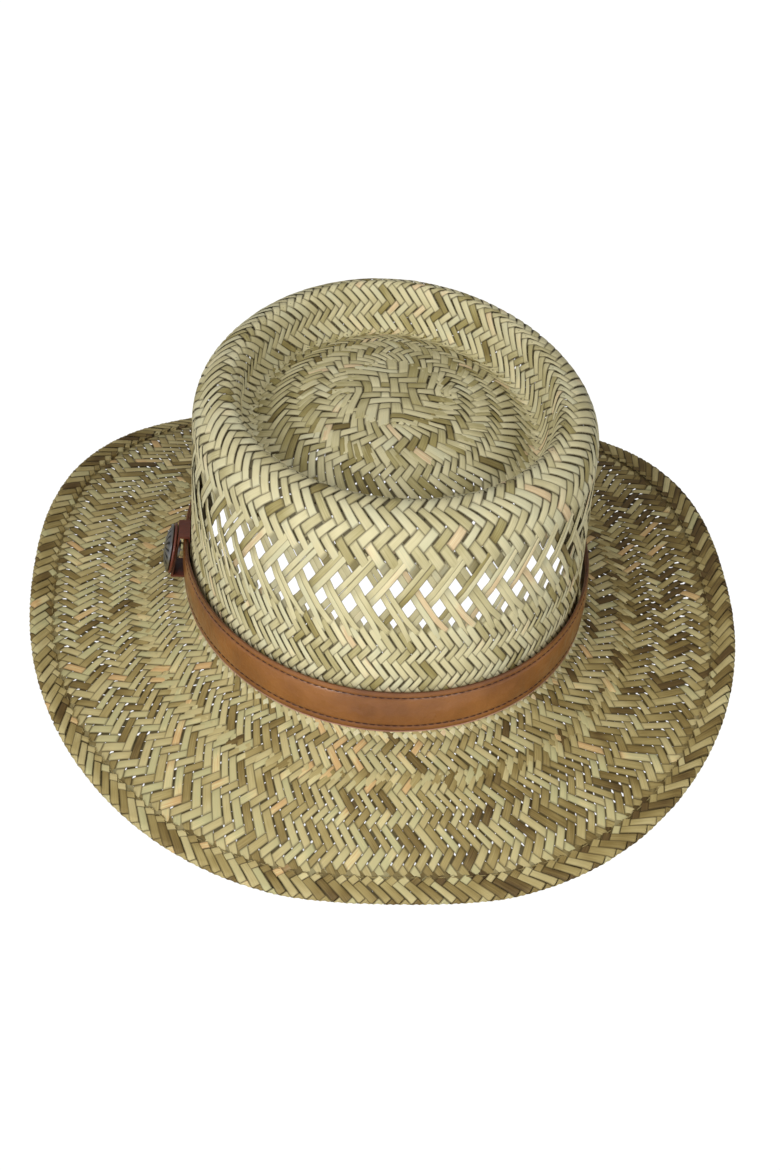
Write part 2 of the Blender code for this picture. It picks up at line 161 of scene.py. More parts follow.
def attribute(tree: bpy.types.NodeTree, name: str) -> Socket:
    """Read one of the mesh's own numbers in a material."""
    return add_node(tree, "ShaderNodeAttribute", attribute_name=name).outputs["Fac"]


def between(tree: bpy.types.NodeTree, share: Socket, low: float, high: float) -> Socket:
    """Turn a share of one into a value between two ends."""
    ends = {"To Min": low, "To Max": high}
    return add_node(tree, "ShaderNodeMapRange", {"Value": share}, ends).outputs["Result"]


def ease(share: Array) -> Array:
    """Soften both ends of a share of one."""
    return share * share * (3 - 2 * share)


def unit(vectors: Array) -> Array:
    """Scale vectors to a length of one."""
    return vectors / np.linalg.norm(vectors, axis=-1, keepdims=True)


def ramp(tree: bpy.types.NodeTree, factor: Socket, stops: Sequence[tuple[float, str]]) -> Socket:
    """Colour a factor with a ramp.

    Args:
        tree: the node tree.
        factor: the value to colour.
        stops: place and hex colour of each stop, in order.

    Returns:
        The colour socket.
    """
    node = add_node(tree, "ShaderNodeValToRGB", {"Fac": factor})
    elements = node.color_ramp.elements
    while len(elements) < len(stops):
        elements.new(0.5)
    for element, (place, code) in zip(elements, stops):
        element.position = place
        element.color = linear(code)
    return node.outputs["Color"]


# ---------------------------------------------------------------------------------------
# Finishes


@dataclass(frozen=True)
class StrawFinish:
    """Dried seagrass, split and flattened: matt, finely ribbed along its length."""

    name: str
    tones: tuple[tuple[float, str], ...]
    rib_mm: float = 0.45
    streak_mm: float = 26.0
    roughness: float = 0.58
    # Colour of the painted shade in the gaps between blades and under crossings.
    painted_shade_tint: str = "3A2C10"

    def build(self) -> bpy.types.Material:
        """Make the material; strand tone, place along and across come from the mesh.

        Returns:
            The straw's material.
        """
        made, tree, shader = new_material(self.name)
        tone, along, across, number, depth = (
            attribute(tree, name) for name in ("tone", "along", "across", "number", "depth")
        )
        # Slow change of colour along one blade.
        slow_place = calculate(tree, "MULTIPLY", along, 1000 / self.streak_mm)
        slow_at = add_node(tree, "ShaderNodeCombineXYZ", {"X": slow_place, "Y": number}).outputs[0]
        slow = add_node(tree, "ShaderNodeTexNoise", {"Vector": slow_at}, {"Scale": 1.0, "Detail": 2.0})
        # Fine fibres that run the blade's length.
        fibre_x = calculate(tree, "MULTIPLY", along, 90.0)
        fibre_y = calculate(tree, "MULTIPLY", across, 1000 / self.rib_mm)
        parts = {"X": fibre_x, "Y": fibre_y, "Z": number}
        fibre_at = add_node(tree, "ShaderNodeCombineXYZ", parts).outputs[0]
        fibre = add_node(
            tree, "ShaderNodeTexNoise", {"Vector": fibre_at}, {"Scale": 1.0, "Detail": 3.0}
        ).outputs["Fac"]
        centred = calculate(tree, "ADD", slow.outputs["Fac"], -0.5)
        mixed = calculate(tree, "MULTIPLY_ADD", centred, 0.9, tone, clamp=True)
        fine = calculate(tree, "ADD", fibre, -0.5)
        toned = calculate(tree, "MULTIPLY_ADD", fine, 0.3, mixed, clamp=True)
        colour = ramp(tree, toned, self.tones)
        # Painted shade: darker along a blade's edges and where it dives under another, where the gaps and the
        # crossing blades cast shadow.
        side = calculate(tree, "ABSOLUTE", across)
        rim = {"From Min": 1.35 * MM, "From Max": 2.0 * MM, "To Max": 0.8}
        edge = add_node(tree, "ShaderNodeMapRange", {"Value": side}, rim).outputs["Result"]
        dive = calculate(tree, "MULTIPLY", depth, 0.95, clamp=True)
        dark = calculate(tree, "MAXIMUM", dive, edge)
        painted_shade_tint = {7: linear(self.painted_shade_tint)}
        shaded = add_node(tree, "ShaderNodeMix", {0: dark, 6: colour}, painted_shade_tint, data_type="RGBA").outputs[2]
        bump = add_node(tree, "ShaderNodeBump", {"Height": fibre}, {"Strength": 0.5, "Distance": 0.2 * MM})
        rough = between(tree, fibre, self.roughness - 0.1, self.roughness + 0.15)
        tree.links.new(shaded, shader.inputs["Base Color"])
        tree.links.new(bump.outputs["Normal"], shader.inputs["Normal"])
        tree.links.new(rough, shader.inputs["Roughness"])
        shader.inputs["Specular IOR Level"].default_value = 0.35
        return made


@dataclass(frozen=True)
class LeatherFinish:
    """Leather: finely grained and slightly creased, with a gloss that its coating sets."""

    name: str
    light: str
    dark: str
    grain_mm: float = 0.9
    crease_mm: float = 9.0
    roughness: float = 0.34

    def build(self) -> bpy.types.Material:
        """Make the material from grain, creases and the wear stored as "edge".

        Returns:
            The leather's material.
        """
        made, tree, shader = new_material(self.name)
        place = add_node(tree, "ShaderNodeTexCoord").outputs["Object"]
        edge = attribute(tree, "edge")
        cells = {"Scale": 1000 / self.grain_mm}
        grain = add_node(tree, "ShaderNodeTexVoronoi", {"Vector": place}, cells, feature="DISTANCE_TO_EDGE")
        folds = {"Scale": 1000 / self.crease_mm, "Detail": 4.0}
        crease = add_node(tree, "ShaderNodeTexNoise", {"Vector": place}, folds).outputs["Fac"]
        cloud = add_node(tree, "ShaderNodeTexNoise", {"Vector": place}, {"Scale": 45.0, "Detail": 3.0})
        shade = calculate(tree, "SUBTRACT", cloud.outputs["Fac"], edge, clamp=True)
        colour = ramp(tree, shade, [(0.0, self.dark), (0.62, self.light)])
        tree.links.new(colour, shader.inputs["Base Color"])
        soft = add_node(tree, "ShaderNodeBump", {"Height": crease}, {"Strength": 0.9, "Distance": 1.4 * MM})
        fine = add_node(
            tree,
            "ShaderNodeBump",
            {"Height": grain.outputs["Distance"], "Normal": soft.outputs["Normal"]},
            {"Strength": 0.25, "Distance": 0.05 * MM},
        )
        tree.links.new(fine.outputs["Normal"], shader.inputs["Normal"])
        rough = between(tree, crease, self.roughness - 0.14, self.roughness + 0.2)
        tree.links.new(rough, shader.inputs["Roughness"])
        # The clear finish that gives the leather its streaks of gloss.
        shader.inputs["Coat Weight"].default_value = 0.45
        shader.inputs["Coat Roughness"].default_value = 0.2
        return made


@dataclass(frozen=True)
class ClothFinish:
    """Plain woven cloth or twisted thread: matt, with a fine even weave."""

    name: str
    light: str
    dark: str
    thread_mm: float = 0.7
    roughness: float = 0.85

    def build(self) -> bpy.types.Material:
        """Make the material with two crossed waves for warp and weft.

        Returns:
            The cloth's material.
        """
        made, tree, shader = new_material(self.name)
        place = add_node(tree, "ShaderNodeTexCoord").outputs["Object"]
        scale = 1000 / self.thread_mm / 2
        warp, weft = (
            add_node(tree, "ShaderNodeTexWave", {"Vector": place}, {"Scale": scale}, bands_direction=way)
            for way in ("DIAGONAL", "Z")
        )
        both = calculate(tree, "MULTIPLY", warp.outputs["Fac"], weft.outputs["Fac"])
        colour = ramp(tree, both, [(0.0, self.dark), (0.7, self.light)])
        tree.links.new(colour, shader.inputs["Base Color"])
        bump = add_node(tree, "ShaderNodeBump", {"Height": both}, {"Strength": 0.5, "Distance": 0.2 * MM})
        tree.links.new(bump.outputs["Normal"], shader.inputs["Normal"])
        shader.inputs["Roughness"].default_value = self.roughness
        return made


@dataclass(frozen=True)
class MetalFinish:
    """Bare metal: bright where it is raised, with dark patina left in its hollows."""

    name: str
    bright: str
    patina: str
    roughness: float = 0.24

    def build(self) -> bpy.types.Material:
        """Make the metal; "edge" on the mesh holds how deep each point lies.

        Returns:
            The metal's material.
        """
        made, tree, shader = new_material(self.name)
        place = add_node(tree, "ShaderNodeTexCoord").outputs["Object"]
        deep = attribute(tree, "edge")
        cloud = add_node(tree, "ShaderNodeTexNoise", {"Vector": place}, {"Scale": 350.0, "Detail": 5.0})
        worn = calculate(tree, "MULTIPLY_ADD", cloud.outputs["Fac"], 0.5, deep, clamp=True)
        colour = ramp(tree, worn, [(0.2, self.bright), (0.9, self.patina)])
        rough = between(tree, worn, self.roughness, self.roughness + 0.35)
        tree.links.new(colour, shader.inputs["Base Color"])
        tree.links.new(rough, shader.inputs["Roughness"])
        shader.inputs["Metallic"].default_value = 1.0
        return made


# Dried and flattened seagrass: matt and ribbed, from pale cream to olive on the crown.
CROWN_STRAW = StrawFinish(
    "seagrass_crown",
    (
        (0.0, "7A6A3C"),
        (0.2, "A3965F"),
        (0.42, "C8BE90"),
        (0.62, "DCD2A6"),
        (0.8, "D4CFA9"),
        (0.93, "E8DCB0"),
        (1.0, "DDC398"),
    ),
)
# The same seagrass for the brim, where more stems are brown and the whole looks darker.
BRIM_STRAW = StrawFinish(
    "seagrass_brim",
    (
        (0.0, "5D4824"),
        (0.16, "86723F"),
        (0.38, "AB9962"),
        (0.6, "C6B783"),
        (0.8, "BCB685"),
        (0.93, "DBCA93"),
        (1.0, "D0AB74"),
    ),
)
# Leather coated and rolled smooth: a waxy gloss that breaks up at its creases.
BAND_LEATHER = LeatherFinish("coated_split_leather", "97602B", "5A2F10")
# Vegetable-tanned leather, dyed through: darker and duller than the coated strap.
ROSETTE_LEATHER = LeatherFinish("vegetable_tanned_leather", "6E3320", "2E1109", roughness=0.5)
# Undyed suede, brushed: pinkish and without gloss.
BAND_LINING = LeatherFinish("raw_suede_lining", "C79A84", "8A5542", roughness=0.75)
# Twisted threads: waxed ones catch a little light, raffia and cotton are matt.
BROWN_THREAD = ClothFinish("waxed_brown_thread", "5A2A16", "2A1008", thread_mm=0.5, roughness=0.6)
STRAW_THREAD = ClothFinish("undyed_raffia_thread", "A99A66", "7C6B3E", thread_mm=0.6)
PALE_THREAD = ClothFinish("cotton_thread", "CDBF9C", "A8966E", thread_mm=0.5)
# Woven cotton twill, matt and evenly ribbed, and satin tape with a soft sheen.
SWEAT_CLOTH = ClothFinish("cotton_sweatband_twill", "C9BC98", "A29168", thread_mm=1.0)
LABEL_SATIN = ClothFinish("satin_label_tape", "E6E1D3", "CFC8B6", thread_mm=0.6, roughness=0.5)
# Cast nickel silver, rubbed bright on its raised parts and dark in its hollows, and drawn
# steel wire, evenly grey.
AGED_SILVER = MetalFinish("aged_nickel_silver", "A2A3A4", "2C2D30")
WIRE_STEEL = MetalFinish("drawn_steel_wire", "9A9A9A", "5A5A5A", roughness=0.4)


# ---------------------------------------------------------------------------------------
# The hat block


@dataclass
class HatBlock:
    """The shape that the straw is pressed over: crown, brim and the hem's fold.

    A point on it is given by its angle round the hat and its reach, the distance along the
    straw from the middle of the crown. The sizes repeat those of the CAD part.
    """

    base_half_width: float = 85.0 * MM
    base_half_length: float = 108.3 * MM
    top_half_width: float = 85.2 * MM
    top_half_length: float = 101.9 * MM
    crown_height: float = 93.6 * MM
    crown_back: float = 6.7 * MM
    crown_egg: float = 4.5 * MM
    rim_radius: float = 14.0 * MM
    dome_drop: float = 10.0 * MM
    dome_forward: float = 12.0 * MM
    moat_drop: float = 22.0 * MM
    moat_radius: float = 67.0 * MM
    dome_flat: float = 0.75
    dome_foot: float = 0.9
    saddle: float = 1.2 * MM
    near_wall: float = 12.0 * MM
    moat_rise: float = 0.6
    band_to_brim: float = 3.4 * MM
    brim_width: float = 73.0 * MM
    brim_half_width: float = 155.9 * MM
    brim_half_length: float = 178.9 * MM
    squareness: float = 2.39
    brim_fall: float = 24.0 * MM
    side_rise: float = 15.7 * MM
    brim_tilt: float = 4.2 * MM
    brim_bow: float = 2.0 * MM
    side_bow: float = 5.0 * MM
    rest_edge: float = 1.25 * MM
    band_z: float = 39.5 * MM
    fold_radius: float = 1.25 * MM
    hem_width: float = 12.0 * MM
    leaf_lift: float = 0.35 * MM
    columns: int = 288
    junction_blend: float = 5.0 * MM

    def __post_init__(self) -> None:
        """Work out the crown's outline and the reaches where each stretch ends."""
        self.rim_start = self.crown_height - self.rim_radius
        self.base_radius = (self.base_half_width + self.base_half_length) / 2
        self.top_radius = (self.top_half_width + self.top_half_length) / 2
        self.base_oval = (self.base_half_length - self.base_half_width) / (2 * self.base_radius)
        self.top_oval = (self.top_half_length - self.top_half_width) / (2 * self.top_radius)
        outline = self.crown_outline()
        steps = np.hypot(*np.diff(outline, axis=0).T)
        self.outline = outline
        self.outline_reach = np.concatenate([[0.0], np.cumsum(steps)])
        self.crown_reach = float(self.outline_reach[-1])
        self.moat_reach = float(np.interp(self.moat_radius, outline[:120, 0], self.outline_reach[:120]))
        self.edge_reach = self.crown_reach + self.brim_width - self.fold_radius
        self.fold_reach = self.edge_reach + math.pi * self.fold_radius
        self.full_reach = self.fold_reach + self.hem_width - self.fold_radius
        self.make_grid()

    def crown_outline(self) -> Array:
        """Half section of the crown from its centre to the brim, as radius and height.

        Returns:
            One row of radius and height for each point.
        """
        crest = self.top_radius - self.rim_radius
        apex_z = self.crown_height - self.dome_drop
        moat_z = self.crown_height - self.moat_drop
        rise = (crest - self.moat_radius) * self.moat_rise
        spans = (
            (
                (0.0, apex_z),
                (self.moat_radius * self.dome_flat, apex_z),
                (self.moat_radius * self.dome_foot, moat_z),
                (self.moat_radius, moat_z),
            ),
            (
                (self.moat_radius, moat_z),
                (self.moat_radius + rise, moat_z),
                (crest - rise, self.crown_height),
                (crest, self.crown_height),
            ),
        )
        share = np.linspace(0, 1, 80)[:-1, None]
        pieces = []
        for start, leave, arrive, end in spans:
            one = np.array(start) * (1 - share) ** 3 + 3 * np.array(leave) * share * (1 - share) ** 2
            pieces.append(one + 3 * np.array(arrive) * share**2 * (1 - share) + np.array(end) * share**3)
        turn = np.linspace(math.pi / 2, 0, 40)[:, None]
        arc = self.rim_radius * np.hstack([np.cos(turn), np.sin(turn)]) + (crest, self.rim_start)
        heights = np.linspace(self.rim_start, -self.band_to_brim, 60)[1:, None]
        wall = np.hstack([self.wall_radius(heights), heights])
        return np.vstack([*pieces, arc, wall])

    def wall_radius(self, height: Array | float) -> Array:
        """Mean radius of the wall at a height over the band's foot."""
        share = np.clip(np.asarray(height) / self.rim_start, 0.0, 1.0)
        return self.base_radius + (self.top_radius - self.base_radius) * share

    def reach_at_height(self, height: float) -> float:
        """Reach of the wall at a height over the band's foot."""
        return self.crown_reach - (height + self.band_to_brim)

    def crown_place(self, angle: Array, radius: Array, height: Array) -> Array:
        """Oval place of a point of the round crown.

        Args:
            angle: angle round the hat in radians.
            radius: radius on the round crown.
            height: height over the band's foot.

        Returns:
            One x, y, z for each point.
        """
        share = np.clip(height / self.rim_start, 0.0, 1.0)
        oval = self.base_oval + (self.top_oval - self.base_oval) * share
        wall = self.wall_radius(height)
        near = np.minimum(1.0, radius / (wall - self.near_wall))
        stretch = oval * wall * near
        egg = self.crown_egg * np.sin(angle) * near
        saddle = self.saddle * np.cos(2 * angle) * (1 - share)
        x = (radius - stretch - egg) * np.cos(angle)
        y = (radius + stretch) * np.sin(angle) - self.crown_back + self.dome_forward * (1 - near**4)
        return np.stack(np.broadcast_arrays(x, y, self.band_z + height + saddle), -1)

    def brim_ends(self, angle: Array) -> tuple[Array, Array]:
        """Inner and outer end of the brim along each angle.

        Args:
            angle: angle round the hat in radians.

        Returns:
            Both ends as x, y, z.
        """
        inner = self.crown_place(angle, np.full_like(angle, self.base_radius), np.full_like(angle, 0.0))
        inner = inner - np.array([0, 0, self.band_to_brim])
        bearing = np.arctan2(self.brim_half_length * np.sin(angle), self.brim_half_width * np.cos(angle))
        across = np.cos(bearing) / self.brim_half_width
        along = np.sin(bearing) / self.brim_half_length
        far = (np.abs(across) ** self.squareness + np.abs(along) ** self.squareness) ** (-1 / self.squareness)
        x = far * np.cos(bearing)
        y = far * np.sin(bearing)
        power = self.squareness / 2
        turn = np.arctan2(
            np.sign(y) * np.abs(y / self.brim_half_length) ** power,
            np.sign(x) * np.abs(x / self.brim_half_width) ** power,
        )
        z = self.band_z - self.brim_fall
        z = z + self.side_rise * np.cos(2 * turn) + self.brim_tilt * np.cos(turn) ** 3
        return inner, np.stack([x, y, np.maximum(z, self.rest_edge)], -1)

    def brim_place(self, angle: Array, share: Array) -> Array:
        """Place on the brim, share 0 at the crown and 1 at the edge.

        Args:
            angle: angle round the hat in radians.
            share: how far out each point lies.

        Returns:
            One x, y, z for each point.
        """
        inner, outer = self.brim_ends(angle)
        point = inner + (outer - inner) * share[..., None]
        bow = -self.brim_bow - self.side_bow * np.cos(2 * angle)
        point[..., 2] += bow * 4 * share * (1 - share)
        return point

    def section(self, reach: Array) -> tuple[Array, Array]:
        """Distance in from the brim's edge, and height over its middle, along the hem.

        Args:
            reach: distance along the straw from the crown's middle.

        Returns:
            The distance in and the height, for each reach.
        """
        radius = self.fold_radius
        turn = np.clip((reach - self.edge_reach) / radius, 0.0, math.pi)
        after = np.clip(reach - self.fold_reach, 0.0, None)
        before = np.clip(self.edge_reach - reach, 0.0, None)
        from_edge = radius + before + after - radius * np.sin(turn)
        rise = np.clip(before / (20 * MM), 0.0, 1.0)
        settle = np.clip(after / (7 * MM), 0.0, 1.0)
        low = -radius * (1 - ease(rise))
        lift = np.where(reach < self.edge_reach, low, -radius * np.cos(turn))
        leaf = radius + (self.leaf_lift - radius) * ease(settle)
        return from_edge, np.where(reach > self.fold_reach, leaf, lift)

    def place(self, angle: Array, reach: Array) -> Array:
        """Place of points given by angle and reach, before the turn at the brim is eased.

        Args:
            angle: angle round the hat in radians.
            reach: distance along the straw from the crown's middle.

        Returns:
            One x, y, z for each point.
        """
        radius = np.interp(reach, self.outline_reach, self.outline[:, 0])
        height = np.interp(reach, self.outline_reach, self.outline[:, 1])
        crown = self.crown_place(angle, radius, height)
        from_edge, lift = self.section(np.maximum(reach, self.crown_reach))
        inner, outer = self.brim_ends(angle)
        width = np.linalg.norm(outer - inner, axis=-1)
        hem = self.hem_width + 1 * MM
        inside = hem + (from_edge - hem) * (width - hem) / (self.brim_width - hem)
        share = 1 - np.where(from_edge > hem, inside, from_edge) / width
        step = 0.01
        outward = self.brim_place(angle, share + step) - self.brim_place(angle, share - step)
        around = self.brim_place(angle + step, share) - self.brim_place(angle - step, share)
        up = unit(np.cross(outward, around))
        brim = self.brim_place(angle, share) + up * lift[..., None]
        return np.where((reach > self.crown_reach)[..., None], brim, crown)

    def make_grid(self) -> None:
        """Sample the block as rows of equal reach and ease the turn from crown to brim."""
        flat = np.arange(0.0, self.edge_reach - 6 * MM, 1 * MM)
        fold = np.arange(self.edge_reach - 6 * MM, self.full_reach, 0.35 * MM)
        self.rows = np.concatenate([flat, fold, [self.full_reach]])
        self.angles = np.linspace(0, TAU, self.columns + 1)
        angle, reach = np.meshgrid(self.angles, self.rows)
        grid = self.place(angle, reach)
        offsets = np.linspace(-1, 1, 7)
        near = np.clip(1 - np.abs(self.rows - self.crown_reach) / (2.2 * self.junction_blend), 0, 1)
        blended = np.zeros_like(grid)
        for offset in offsets * self.junction_blend:
            blended += self.place(angle, np.clip(reach + offset, 0, None)) / len(offsets)
        weight = ease(near)[:, None, None]
        self.grid = grid * (1 - weight) + blended * weight

    def mean_radius(self, reach: Array) -> Array:
        """Mean radius of the ring at a reach, from its length round the hat."""
        lengths = np.linalg.norm(np.diff(self.grid, axis=1), axis=2).sum(1)
        return np.interp(reach, self.rows, lengths / TAU)

    def sample(self, angle: Array, reach: Array) -> tuple[Array, Array]:
        """Place and outward normal of points on the block.

        Args:
            angle: angle round the hat in radians.
            reach: distance along the straw from the crown's middle.

        Returns:
            The places and the unit normals.
        """
        step_a = 0.01
        step_r = 0.5 * MM
        outward = self.at(angle, reach + step_r) - self.at(angle, reach - step_r)
        around = self.at(angle + step_a, reach) - self.at(angle - step_a, reach)
        return self.at(angle, reach), unit(np.cross(outward, around))

    def at(self, angle: Array, reach: Array) -> Array:
        """Read places off the sampled block.

        Args:
            angle: angle round the hat in radians.
            reach: distance along the straw from the crown's middle.

        Returns:
            One x, y, z for each point.
        """
        column = np.mod(angle, TAU) / TAU * self.columns
        row = np.interp(reach, self.rows, np.arange(len(self.rows)))
        c0 = np.minimum(column.astype(int), self.columns - 1)
        r0 = np.minimum(row.astype(int), len(self.rows) - 2)
        fc = (column - c0)[..., None]
        fr = (row - r0)[..., None]
        top = self.grid[r0, c0] * (1 - fc) + self.grid[r0, c0 + 1] * fc
        bottom = self.grid[r0 + 1, c0] * (1 - fc) + self.grid[r0 + 1, c0 + 1] * fc
        return top * (1 - fr) + bottom * fr

    def build(self) -> bpy.types.Object:
        """Make the block as a mesh whose UV map holds angle and reach as shares of one.

        Returns:
            The block, which is taken out again once the straw is pressed.
        """
        rows, columns = self.grid.shape[:2]
        index = np.arange(rows * columns).reshape(rows, columns)
        quads = np.stack([index[:-1, :-1], index[1:, :-1], index[1:, 1:], index[:-1, 1:]], -1).reshape(-1, 4)
        mesh = grid_mesh("hat_block", self.grid.reshape(-1, 3), quads)
        uv = mesh.uv_layers.new(name="block_uv")
        turn = (self.angles / TAU)[None, :].repeat(rows, 0).reshape(-1)
        reach = (self.rows / self.full_reach)[:, None].repeat(columns, 1).reshape(-1)
        coordinates = np.stack([turn, reach], -1)[quads.reshape(-1)]
        uv.data.foreach_set("uv", coordinates.astype(np.float32).reshape(-1))
        block = bpy.data.objects.new("hat_block", mesh)
        bpy.context.scene.collection.objects.link(block)
        return block


def grid_mesh(name: str, points: Array, faces: Array) -> bpy.types.Mesh:
    """Make a mesh from arrays.

    Args:
        name: the mesh's name.
        points: one row of x, y, z for each point.
        faces: one row of four point numbers for each face.

    Returns:
        The mesh.
    """
    mesh = bpy.data.meshes.new(name)
    count, corners = faces.shape
    mesh.vertices.add(len(points))
    mesh.vertices.foreach_set("co", points.astype(np.float32).reshape(-1))
    mesh.loops.add(count * corners)
    mesh.loops.foreach_set("vertex_index", faces.astype(np.int32).reshape(-1))
    mesh.polygons.add(count)
    mesh.polygons.foreach_set("loop_start", np.arange(count, dtype=np.int32) * corners)
    mesh.update(calc_edges=True)
    mesh.shade_smooth()
    return mesh


def store(mesh: bpy.types.Mesh, name: str, values: Array) -> None:
    """Store one number for each point of a mesh."""
    layer = mesh.attributes.new(name, "FLOAT", "POINT")
    layer.data.foreach_set("value", values.astype(np.float32).reshape(-1))


def keep(
    name: str, mesh: bpy.types.Mesh, finish: bpy.types.Material, sharp: float = 40.0
) -> bpy.types.Object:
    """Put a finished mesh in the scene as one piece.

    Args:
        name: the piece's name.
        mesh: the finished mesh.
        finish: its material.
        sharp: edges turned by more degrees than this stay sharp.

    Returns:
        The piece.
    """
    mesh.name = name
    mesh.materials.clear()
    mesh.materials.append(finish)
    mesh.shade_smooth()
    mesh.set_sharp_from_angle(angle=math.radians(sharp))
    piece = bpy.data.objects.new(name, mesh)
    bpy.context.scene.collection.objects.link(piece)
    return piece


def tell(piece: bpy.types.Object, body: Body, node: str) -> None:
    """Tell the frame what a piece rides on and stands for.

    Args:
        piece: the finished piece.
        body: the body that it moves with.
        node: the CAD node that it replaces.
    """
    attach(piece, body.value)
    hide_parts(node)
    LOG.info("%s: %d faces", piece.name, len(piece.data.polygons))


def run_tree(
    name: str,
    mesh: bpy.types.Mesh,
    tree: bpy.types.NodeTree,
    inputs: dict[str, object],
    finish: bpy.types.Material,
) -> bpy.types.Object:
    """Run a Geometry Nodes tree on a mesh and keep its plain result.

    Args:
        name: the new piece's name.
        mesh: what the tree starts from.
        tree: the node group.
        inputs: values of its named inputs.
        finish: the material of the result.

    Returns:
        The finished piece, with no modifier left.
    """
    carrier = bpy.data.objects.new(name + "_blank", mesh)
    bpy.context.scene.collection.objects.link(carrier)
    modifier = carrier.modifiers.new("press", "NODES")
    modifier.node_group = tree
    sockets = {item.name: item.identifier for item in tree.interface.items_tree if item.item_type == "SOCKET"}
    for key, value in {**inputs, "Finish": finish}.items():
        modifier[sockets[key]] = value
    graph = bpy.context.evaluated_depsgraph_get()
    graph.update()
    result = bpy.data.meshes.new_from_object(carrier.evaluated_get(graph), depsgraph=graph)
    bpy.data.objects.remove(carrier, do_unlink=True)
    return keep(name, result, finish)


def named_vector(tree: bpy.types.NodeTree, name: str) -> Socket:
    """Read one of the mesh's own vectors in a geometry tree."""
    node = add_node(
        tree, "GeometryNodeInputNamedAttribute", values={"Name": name}, data_type="FLOAT_VECTOR"
    )
    return node.outputs["Attribute"]


def vector_step(tree: bpy.types.NodeTree, operation: str, links: dict) -> Socket:
    """Add one step of vector arithmetic."""
    return add_node(tree, "ShaderNodeVectorMath", links, operation=operation).outputs[0]


def finish_tree(tree: bpy.types.NodeTree, result: Socket, finish: Socket, output: str) -> None:
    """End a geometry tree by making its result real and giving it its material.

    Args:
        tree: the node group.
        result: the geometry so far.
        finish: the socket that holds the material.
        output: the name of the group's output.
    """
    real = add_node(tree, "GeometryNodeRealizeInstances", {"Geometry": result}).outputs[0]
    dressed = add_node(tree, "GeometryNodeSetMaterial", {"Geometry": real, "Material": finish})
    add_node(tree, "NodeGroupOutput", {output: dressed.outputs[0]})


class PressTree:
    """Geometry Nodes that press a flat plait over the hat block.

    In the flat plait x is the angle and y the reach, both as shares of one, and z the
    height of each point over the middle of the straw, in metres.
    """

    def __init__(self) -> None:
        """Build the node group."""
        tree = bpy.data.node_groups.new("press_over_block", "GeometryNodeTree")
        face = tree.interface
        face.new_socket("Plait", in_out="INPUT", socket_type="NodeSocketGeometry")
        face.new_socket("Block", in_out="INPUT", socket_type="NodeSocketObject")
        lift = face.new_socket("Lift Scale", in_out="INPUT", socket_type="NodeSocketFloat")
        lift.default_value = 1.0
        face.new_socket("Finish", in_out="INPUT", socket_type="NodeSocketMaterial")
        face.new_socket("Pressed", in_out="OUTPUT", socket_type="NodeSocketGeometry")
        start = add_node(tree, "NodeGroupInput").outputs
        block = add_node(tree, "GeometryNodeObjectInfo", {"Object": start["Block"]}).outputs["Geometry"]
        where = add_node(tree, "GeometryNodeInputPosition").outputs[0]
        parts = add_node(tree, "ShaderNodeSeparateXYZ", {0: where}).outputs
        turn = calculate(tree, "FRACT", parts["X"])
        uv = add_node(tree, "ShaderNodeCombineXYZ", {"X": turn, "Y": parts["Y"]}).outputs[0]
        links = {"Mesh": block, "UV Map": named_vector(tree, "block_uv"), "Sample UV": uv}
        spot, up = (
            add_node(tree, "GeometryNodeSampleUVSurface", {**links, "Value": value}, data_type="FLOAT_VECTOR")
            for value in (where, add_node(tree, "GeometryNodeInputNormal").outputs[0])
        )
        away = vector_step(tree, "NORMALIZE", {0: up.outputs["Value"]})
        height = calculate(tree, "MULTIPLY", parts["Z"], start["Lift Scale"])
        raised = vector_step(tree, "SCALE", {0: away, "Scale": height})
        final = vector_step(tree, "ADD", {0: spot.outputs["Value"], 1: raised})
        pressed = add_node(tree, "GeometryNodeSetPosition", {"Geometry": start["Plait"], "Position": final})
        finish_tree(tree, pressed.outputs[0], start["Finish"], "Pressed")
        self.tree = tree


# ---------------------------------------------------------------------------------------
# Plaiting


@dataclass(frozen=True)
class StrawSizes:
    """Sizes of one blade of straw and how it rides over the others."""

    thickness: float = 0.42 * MM
    swing: float = 0.34 * MM


@dataclass
class Weave:
    """Turns rings of crossings into blades; the lean of the blades varies with reach."""

    block: HatBlock
    straw: StrawSizes = field(default_factory=StrawSizes)
    lean_reaches: tuple[float, ...] = ()
    lean_degrees: tuple[float, ...] = ()
    over: tuple[int, ...] = (0, 1, 2)
    repeat: int = 5

    def __post_init__(self) -> None:
        """Add up how far a blade turns round the hat on its way out."""
        self.reaches = np.linspace(4 * MM, self.block.full_reach, 3000)
        self.radii = self.block.mean_radius(self.reaches)
        lean = np.radians(np.interp(self.reaches, self.lean_reaches, self.lean_degrees))
        slope = np.tan(lean) / self.radii
        step = np.diff(self.reaches)
        self.turns = np.concatenate([[0.0], np.cumsum(step * (slope[1:] + slope[:-1]) / 2)])
        self.leans = lean

    def turn_at(self, reach: Array | float) -> Array:
        """Angle a blade has turned at a reach."""
        return np.interp(reach, self.reaches, self.turns)

    def reach_at(self, turn: Array) -> Array:
        """Reach at which a blade has turned by an angle."""
        return np.interp(turn, self.turns, self.reaches)

    def height(self, ring: Array, family: Family) -> Array:
        """Which side a blade lies on at each ring, as +1 over or -1 under.

        Args:
            ring: number of the crossing along the blade.
            family: which way the blade runs.

        Returns:
            The side for each ring.
        """
        first = np.isin(np.mod(ring, self.repeat), self.over)
        side = np.where(first, 1.0, -1.0)
        return side if family is Family.ANTICLOCKWISE else -side


SECTION = (
    # Across and up, as shares of half the width and half the thickness.
    (-1.0, 0.0),
    (-0.6, 0.9),
    (0.6, 0.9),
    (1.0, 0.0),
    (0.6, -0.9),
    (-0.6, -0.9),
)


